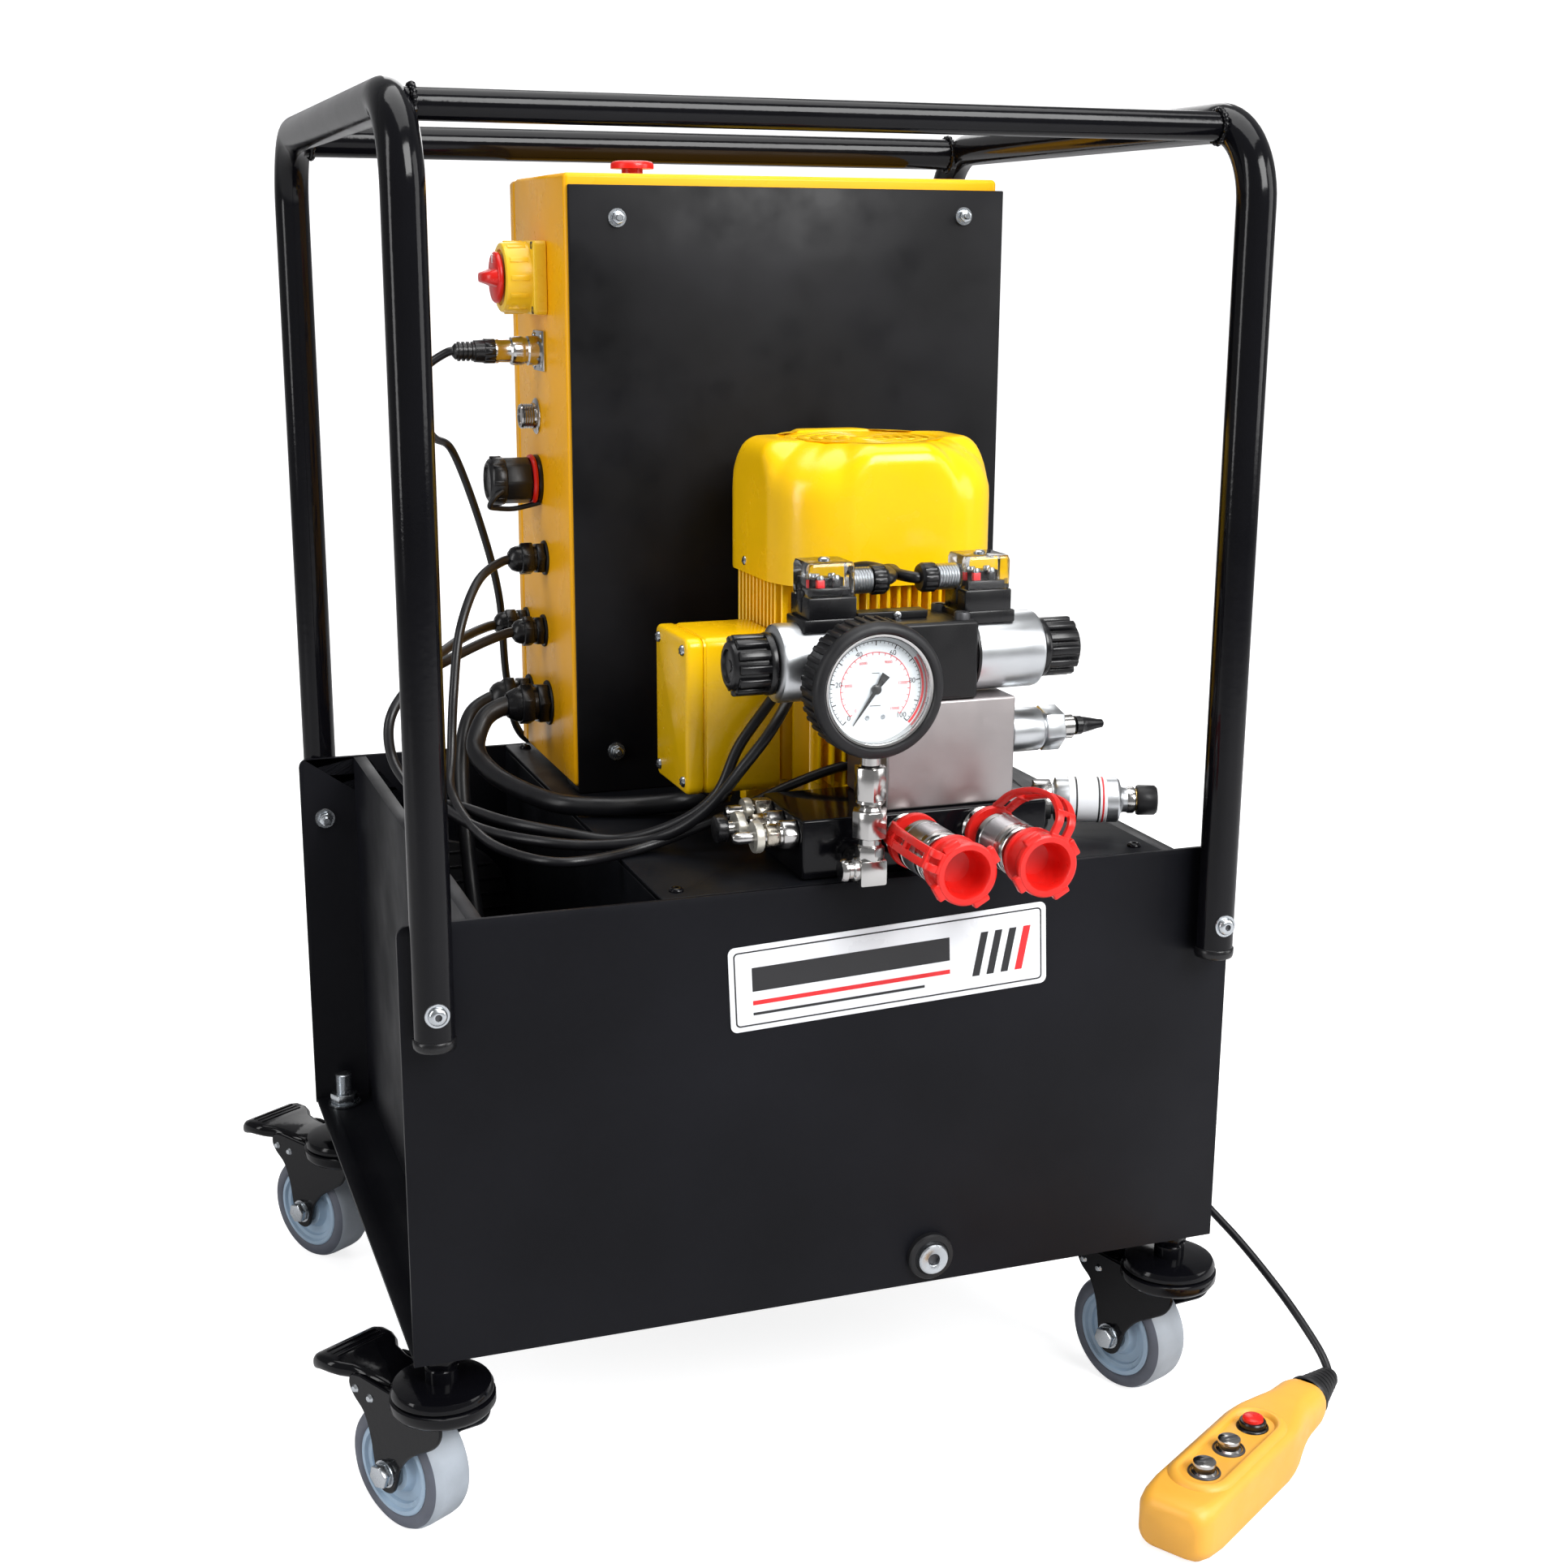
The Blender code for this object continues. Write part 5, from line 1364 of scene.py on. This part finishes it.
def isolator_knob(centre):
    low, high = span("isolator_knob")
    reach = high.x - low.x
    knob = Piece((high.x, centre.y, centre.z), LEFT)
    knob.add(lathe([(0, 0), (15.6, 0), (16, 0.8), (16, 2.6), (15, 3.6), (0, 4.0)], 64), RED_PLASTIC)
    rows = []
    for z, half, thick in ((2.5, 15, 6.4), (6, 14.6, 4.6), (9.4, 12.5, 3.4), (11.6, 9, 2.8), (reach, 4, 2.0)):
        rows.append([(px, py, z) for px, py in rounded(2 * half, 2 * thick, thick * 0.9, 5)])
    knob.add(loft(rows), RED_PLASTIC)
    knob.add(block((-0.7, 9, 3.4), (0.7, 14.6, 4.4), 0.2), LABEL_WHITE)
    knob.stand_in("isolator_knob", 50, moves=True)


# ---------------------------------------------------------------- fan and pendant

def cooling_fan():
    low, high = span("fan_frame")
    centre = (low + high) / 2
    radius = (high.x - low.x) / 2
    fan_shroud(centre, low.y, high.y - low.y, radius)
    filter_mat(centre)
    fan_rotor(centre, radius - 10)


def fan_shroud(centre, near, depth, radius):
    shroud = Piece((centre.x, near, centre.z), BACK)
    shroud.add(lathe([(radius - 6, 0), (radius - 0.4, 0), (radius, 1), (radius, 3.4), (radius - 2.4, 4.2),
                      (radius - 2.4, depth - 4), (radius, depth - 3.2), (radius, depth - 0.8),
                      (radius - 0.8, depth), (radius - 5, depth), (radius - 6, depth - 1.4),
                      (radius - 6, 0)], 96), BLACK_PLASTIC)
    shroud.add(lathe([(0, depth), (22, depth), (24, depth - 1.6), (24, depth - 8), (0, depth - 8)], 60),
               BLACK_PLASTIC)
    for k in range(3):
        shroud.add(block((20, -4, depth - 6), (radius - 4, 4, depth - 2), 1.0), BLACK_PLASTIC,
                   spin=120 * k + 30)
    for k in range(1, 7):
        reach = 24 + 9.4 * k
        wire = [Vector((reach * math.cos(a), reach * math.sin(a), depth - 1.0))
                for a in [2 * math.pi * i / 72 for i in range(73)]]
        shroud.add(pipe(wire, 1.0, 8, caps=False), ZINC)
    shroud.stand_in("fan_frame", 40)


def filter_mat(centre):
    wall = span("chassis_tray")[1].y
    mat = Piece((centre.x, wall - 3.4, centre.z), FRONT)
    mat.add(lathe([(0, 3.2), (53, 3.2), (54, 2.4), (54, 0), (0, 0)], 72), BLACK_RUBBER)
    for k in range(-4, 5):
        half = math.sqrt(52 ** 2 - (11 * k) ** 2)
        mat.add(block((-half, 11 * k - 1, 3), (half, 11 * k + 1, 4.2), 0.4), BLACK_PLASTIC)
    mat.done("air_filter_mat")


def fan_rotor(centre, reach):
    low, high = span("fan_rotor")
    wheel = Piece((centre.x, low.y, centre.z), BACK)
    hub = high.y - low.y
    wheel.add(lathe([(0, hub), (23, hub), (26, hub - 2), (26, 1), (25, 0), (0, 0)], 60), BLACK_PLASTIC)
    for k in range(7):
        rows = []
        for step in range(9):
            share = step / 8
            r = 24 + (reach - 24) * share
            pitch = math.radians(52 - 26 * share)
            chord = 20 + 14 * share
            row = []
            for t, lift in ((-0.5, 0), (-0.2, 0.9), (0.2, 0.9), (0.5, 0), (0.2, -0.5), (-0.2, -0.5)):
                along = chord * t
                row.append((r, along * math.cos(pitch) + 6 * share ** 2,
                            hub / 2 + (along * math.sin(pitch) + lift) * 0.62))
            rows.append(row)
        wheel.add(loft(rows), BLACK_PLASTIC, spin=360 / 7 * k)
    wheel.stand_in("fan_rotor", 45, moves=True)


def pendant():
    """Returns the hand pendant's far end and the way from there to its cable."""
    stop, retract = middle("pendant_stop"), middle("pendant_retract")
    way = (stop - retract).xy.normalized()
    angle = math.degrees(math.atan2(way.y, way.x))
    tip = Vector((*(retract.xy - way * 42.0), 0))
    pendant_housing(tip, angle)
    strain_relief(tip, angle)
    for name in ("stop", "advance", "retract"):
        pendant_button(name)
    return tip, way


def pendant_housing(tip, angle):
    top = span("pendant_housing")[1].z
    deck = top - 3.0
    rows = []
    for s, half, z0, z1, r in ((0.6, 16, 6, 28, 8), (2, 19, 3.4, 31.6, 9), (6, 21.4, 1.2, 34.4, 9),
                               (13, 22.7, 0.3, 35, 8), (26, 23, 0, deck, 6), (112, 23, 0, deck, 6),
                               (120, 22.6, 0.2, deck, 7), (128, 21.4, 0.8, 35.4, 8),
                               (136, 19.4, 1.8, 35.6, 9), (144, 17.6, 3.0, 35.4, 9.4),
                               (151, 16.6, 4.0, 34.6, 10), (158, 16.2, 4.6, 33.8, 10.5),
                               (172, 15.8, 5.2, 33.0, 11), (178, 14.8, 6.4, 31.8, 11),
                               (181.4, 13.0, 8.4, 29.8, 10)):
        section = rounded(2 * half, z1 - z0, min(r, (z1 - z0) / 2 - 0.2), 6)
        rows.append([(s, py, (z0 + z1) / 2 + pz) for py, pz in section])
    body = Piece(tip, UP, angle)
    body.add(loft(rows), PENDANT_YELLOW)
    rim = []
    for grow, z in ((7.6, deck - 3.2), (6.4, deck + 0.6), (4.4, deck + 2.4), (2.4, top), (1.2, deck + 2.6),
                    (0.2, deck + 1.2), (-0.6, deck - 0.2)):
        outline = rounded(92 + 2 * grow, 25 + 2 * grow, 12.4 + grow * 0.8, 8)
        rim.append([(73 + px, py, z) for px, py in outline])
    body.add(loft(rim, caps=False), PENDANT_YELLOW)
    for s, paint in ((104, BLACK_PLASTIC), (73, DARK_STEEL_AND_SHADE), (42, DARK_STEEL_AND_SHADE)):
        body.add(lathe([(8.3, -1.0), (8.3, 0.9), (8.6, 1.3), (9.2, 1.1), (9.7, 0.2), (9.8, -0.4)], 48),
                 paint, (s, 0, deck))
    body.stand_in("pendant_housing", 45)


def strain_relief(tip, angle):
    boot = Piece((*tip.xy, 0), UP, angle)
    relief = [(13.0, 0), (13.8, 1), (13.8, 3), (12.2, 4)]
    for k in range(6):
        z = 5 + 4.8 * k
        r = 12.0 - 1.0 * k
        relief += [(r - 1.8, z), (r, z + 0.6), (r, z + 3.2), (r - 1.8, z + 3.8)]
    boot.add(lathe(relief + [(5.6, 35), (4.4, 36), (0, 36)], 40), BLACK_RUBBER, (180.6, 0, 19), RIGHT)
    boot.done("pendant_strain_relief", angle=40)


def pendant_button(name):
    node = f"pendant_{name}"
    low, high = span(node)
    at = middle(node)
    height = high.z - low.z
    button = Piece((at.x, at.y, low.z))
    if name == "stop":
        button.add(lathe([(5.8, height - 2.6), (7.4, height - 2.8), (8, height - 3.6), (8, 0), (0, 0)], 44),
                   BLACK_PLASTIC)
        button.add(lathe([(0, height), (4.6, height - 0.2), (6.0, height - 1.0), (6.4, height - 3)], 44),
                   RED_PLASTIC)
    else:
        button.add(lathe([(0, height), (5.6, height - 0.1), (6.6, height - 0.7), (6.9, height - 2.2),
                          (6.2, height - 3.4), (6.2, height - 6), (7.6, height - 7), (7.6, 0), (0, 0)],
                         44), CHROME)
        button.add(block((-5.4, -0.7, height - 0.3), (5.4, 0.7, height + 0.5), 0.3), DARK_STEEL_AND_SHADE)
    button.stand_in(node, moves=True)


# ---------------------------------------------------------------- cables

def cable(name, points, radius):
    piece = Piece()
    piece.add(pipe(smooth_path(points, 10), radius, 18), CABLE_BLACK)
    piece.done(name)


def cables():
    """The loom from the cabinet's glands; heights called lie rest on the tank's cover."""
    lie = span("tank_cover")[1].z + 4.2
    spool = middle("valve_spool")
    cable("motor_cable", [
        (-112, 113, 421), (-124, 112, 420.5), (-138, 106, 414), (-147, 92, 398), (-143, 66, 388),
        (-131, 30, 383), (-114, -4, 381), (-88, -19, 380.8), (-62, -26, 381.5), (-42, -36, 385),
        (-31, -50, 393), (-29, -60, 403), (-29, -62, 410)], 6.3)
    cable("valve_cable_1", [
        (-106, 121, 469), (-120, 118, 468.5), (-150, 100, 462), (-186, 76, 450), (-207, 60, 430),
        (-208, 54, 404), (-196, 44, 384), (-182, 14, lie), (-170, -40, lie), (-142, -78, lie),
        (-110, -95, lie), (-78, -108, 384), (-56, -124, 402), (-38, -138, 430), (-20, -138, 452),
        (2, -118, 474), (16, -106, 496), (20, -106, 518), (28, -114, 534),
        (38, -126, 540), (45, -140, 540), (45, -154, 539), (40, spool.y, 538.4),
        (35, spool.y, 538.2)], 3.3)
    cable("valve_cable_2", [
        (-106, 172, 466), (-122, 168, 465), (-150, 140, 460), (-178, 100, 450), (-194, 70, 430),
        (-197, 58, 402), (-186, 46, 378), (-172, 8, lie + 2), (-156, -44, lie + 5), (-128, -72, lie + 3),
        (-98, -86, lie), (-68, -104, 390), (-46, -112, 408), (-32, -112, 436), (-10, -108, 462),
        (14, -100, 490), (34, -100, 516), (51, -116, 534), (53, -134, 539), (50, -152, 539),
        (55, spool.y, 538.4), (60, spool.y, 538.2)], 3.3)
    cable("sensor_cable", [
        (-108, 114, 519), (-122, 111, 518), (-142, 94, 508), (-158, 76, 480), (-166, 62, 444),
        (-171, 50, 408), (-176, 26, 386), (-174, -40, lie - 1), (-164, -92, lie - 1),
        (-138, -121, lie - 1), (-90, -108, lie), (-44, -112, 393), (-4, -114, 409), (30, -115, 419),
        (70, -114, 423), (112, -110, 418), (138, -112, 404), (154, -116, 390), (162, -117, 378)], 3.0)
    cable("tank_cable", [
        (-110, 168, 415), (-122, 167, 414), (-138, 158, 404), (-147, 142, 376), (-150, 118, 330),
        (-148, 96, 270), (-138, 88, 226), (-124, 88, 210), (-116, 88, 208)], 5.2)
    deck_glands()


def deck_glands():
    """Where the motor, tank and sensor cables go in."""
    fitting = Piece()
    gland(fitting, (-105.3, 88.0, 208.0), 19.0, 16.0, 5.2)
    fitting.add(lathe([(0, 0), (6, 0), (6, 4), (4.6, 5), (0, 5)], 30), BLACK_RUBBER,
                (162, -117, span("tank_cover")[1].z))
    gland(fitting, (-29.0, -62.0, 404.4), 19.0, 14.0, 6.3, DOWN)
    fitting.done("deck_glands", angle=40)


def pendant_lead(tip, way):
    """The lead from the cabinet's plug, down behind the tank, to the pendant's strain relief."""
    side = span("cabinet_body")[0].x
    ahead = Vector((*way, 0))
    start = tip + ahead * 210.0
    cable("pendant_lead", [
        (side - 52, 113, 654), (side - 62, 114, 653), (side - 76, 126, 640), (side - 76, 156, 616),
        (side - 58, 190, 594), (side - 42, 205, 582), (side - 24, 208, 532), (side - 12, 208, 480),
        (side - 8, 208, 420), (side + 2, 207, 378), (-52, 206.5, 362), (-36, 206, 330), (-36, 206, 200),
        (-40, 205, 132), (-36, 190, 112), (0, 130, 111), (90, 60, 112), (190, 10, 112), (262, -30, 108),
        (296, -76, 98), (311, -124, 80), (322, -172, 56), (329, -206, 34), (330, -220, 23),
        tuple(start + ahead * 2 + Vector((0, 0, 19))), tuple(start - ahead * 8 + Vector((0, 0, 19)))], 2.7)


def lead_clips():
    clips = Piece()
    for z in (340, 160):
        clips.add(lathe([(2.9, -3), (4.2, -3), (4.2, 3), (2.9, 3), (2.9, -3)], 24), BLACK_PLASTIC,
                  (-36, 206, z))
        clips.add(block((-36, 200.2, z - 3), (-26, 202, z + 3), 0.6), BLACK_PLASTIC)
    clips.done("lead_clips")


# ---------------------------------------------------------------- stage, light and camera

FLOOR_GLOW = 0.8     # only for camera rays, so that the backdrop is as pale as a studio sweep


def stage():
    """A floor that sweeps up behind the unit."""
    profile = [(-6000, 0), (2600, 0), (3400, 120), (4000, 500), (4300, 1200), (4400, 2400), (4400, 6000)]
    rings = [[(x, y, z) for y, z in profile] for x in (-6000, 6000)]
    shape = bmesh.new()
    loops = [[shape.verts.new(p) for p in ring] for ring in rings]
    for i in range(len(profile) - 1):
        shape.faces.new((loops[0][i], loops[1][i], loops[1][i + 1], loops[0][i + 1]))
    mesh = bpy.data.meshes.new("studio_floor")
    shape.transform(TO_WORLD)
    bmesh.ops.recalc_face_normals(shape, faces=shape.faces)
    shape.to_mesh(mesh)
    shape.free()
    paint = Nodes("studio_floor")
    paint.put("Base Color", (0.62, 0.62, 0.63, 1))
    paint.put("Roughness", 0.9)
    paint.put("Specular IOR Level", 0.1)
    paint.put("Emission Color", (1, 1, 1, 1))
    rays = paint.node("LightPath").outputs["Is Camera Ray"]
    paint.put("Emission Strength", paint.between(rays, 0, 1, 0.0, FLOOR_GLOW))
    mesh.materials.append(paint.material)
    mesh.shade_smooth()
    floor = bpy.data.objects.new("studio_floor", mesh)
    bpy.context.scene.collection.objects.link(floor)


def softbox(name, at, size, power):
    light = bpy.data.lights.new(name, "AREA")
    light.shape = "RECTANGLE"
    light.size, light.size_y = size
    light.energy = power
    obj = bpy.data.objects.new(name, light)
    obj.location = TO_WORLD @ Vector(at)
    obj.rotation_euler = (LIT_POINT - Vector(at)).to_track_quat("-Z", "Y").to_euler()
    bpy.context.scene.collection.objects.link(obj)


# name, place, size in metres, power in watts
LIGHTS = (("key", (900, -2300, 2200), (1.5, 1.5), 98),
          ("fill", (2300, -1300, 1300), (1.2, 1.8), 22),
          ("top", (200, 100, 2900), (2.4, 2.0), 46),
          ("left_strip", (-2300, -500, 1300), (0.5, 2.0), 20),
          ("back", (900, 2400, 1700), (1.6, 1.6), 16))
LIT_POINT = Vector((0, 0, 400))
AMBIENT = 0.27


def lights():
    for light in LIGHTS:
        softbox(*light)
    world = bpy.data.worlds.new("studio")
    world.use_nodes = True
    tree = world.node_tree
    back = tree.nodes["Background"]
    back.inputs["Color"].default_value = (1, 1, 1, 1)
    rays = tree.nodes.new("ShaderNodeLightPath")
    level = tree.nodes.new("ShaderNodeMapRange")
    level.inputs["To Min"].default_value = AMBIENT
    level.inputs["To Max"].default_value = 1.0
    tree.links.new(rays.outputs["Is Camera Ray"], level.inputs["Value"])
    tree.links.new(level.outputs["Result"], back.inputs["Strength"])
    bpy.context.scene.world = world


VIEW_PLACE = (-414.7, -1252.6, 714.2)
VIEW_TURN = (75.94, -0.28, -19.73)
LENS_MM = 48.4


def camera():
    lens = bpy.data.cameras.new("photo_view")
    lens.lens = LENS_MM
    lens.sensor_width = 36.0
    lens.clip_end = 50.0
    obj = bpy.data.objects.new("photo_view", lens)
    obj.location = TO_WORLD @ Vector(VIEW_PLACE)
    obj.rotation_euler = [math.radians(turn) for turn in VIEW_TURN]
    bpy.context.scene.collection.objects.link(obj)
    bpy.context.scene.camera = obj
    bpy.context.scene.view_settings.view_transform = "Standard"


chassis()
cage()
nameplate()
drain_plug()
for corner in ("fl", "fr", "bl", "br"):
    caster(corner)
motor()
valve_stack()
side_fittings()
for side in ("left", "right"):
    coupler(side)
gauge()
cabinet()
cooling_fan()
cables()
pendant_lead(*pendant())
lead_clips()
stage()
lights()
camera()
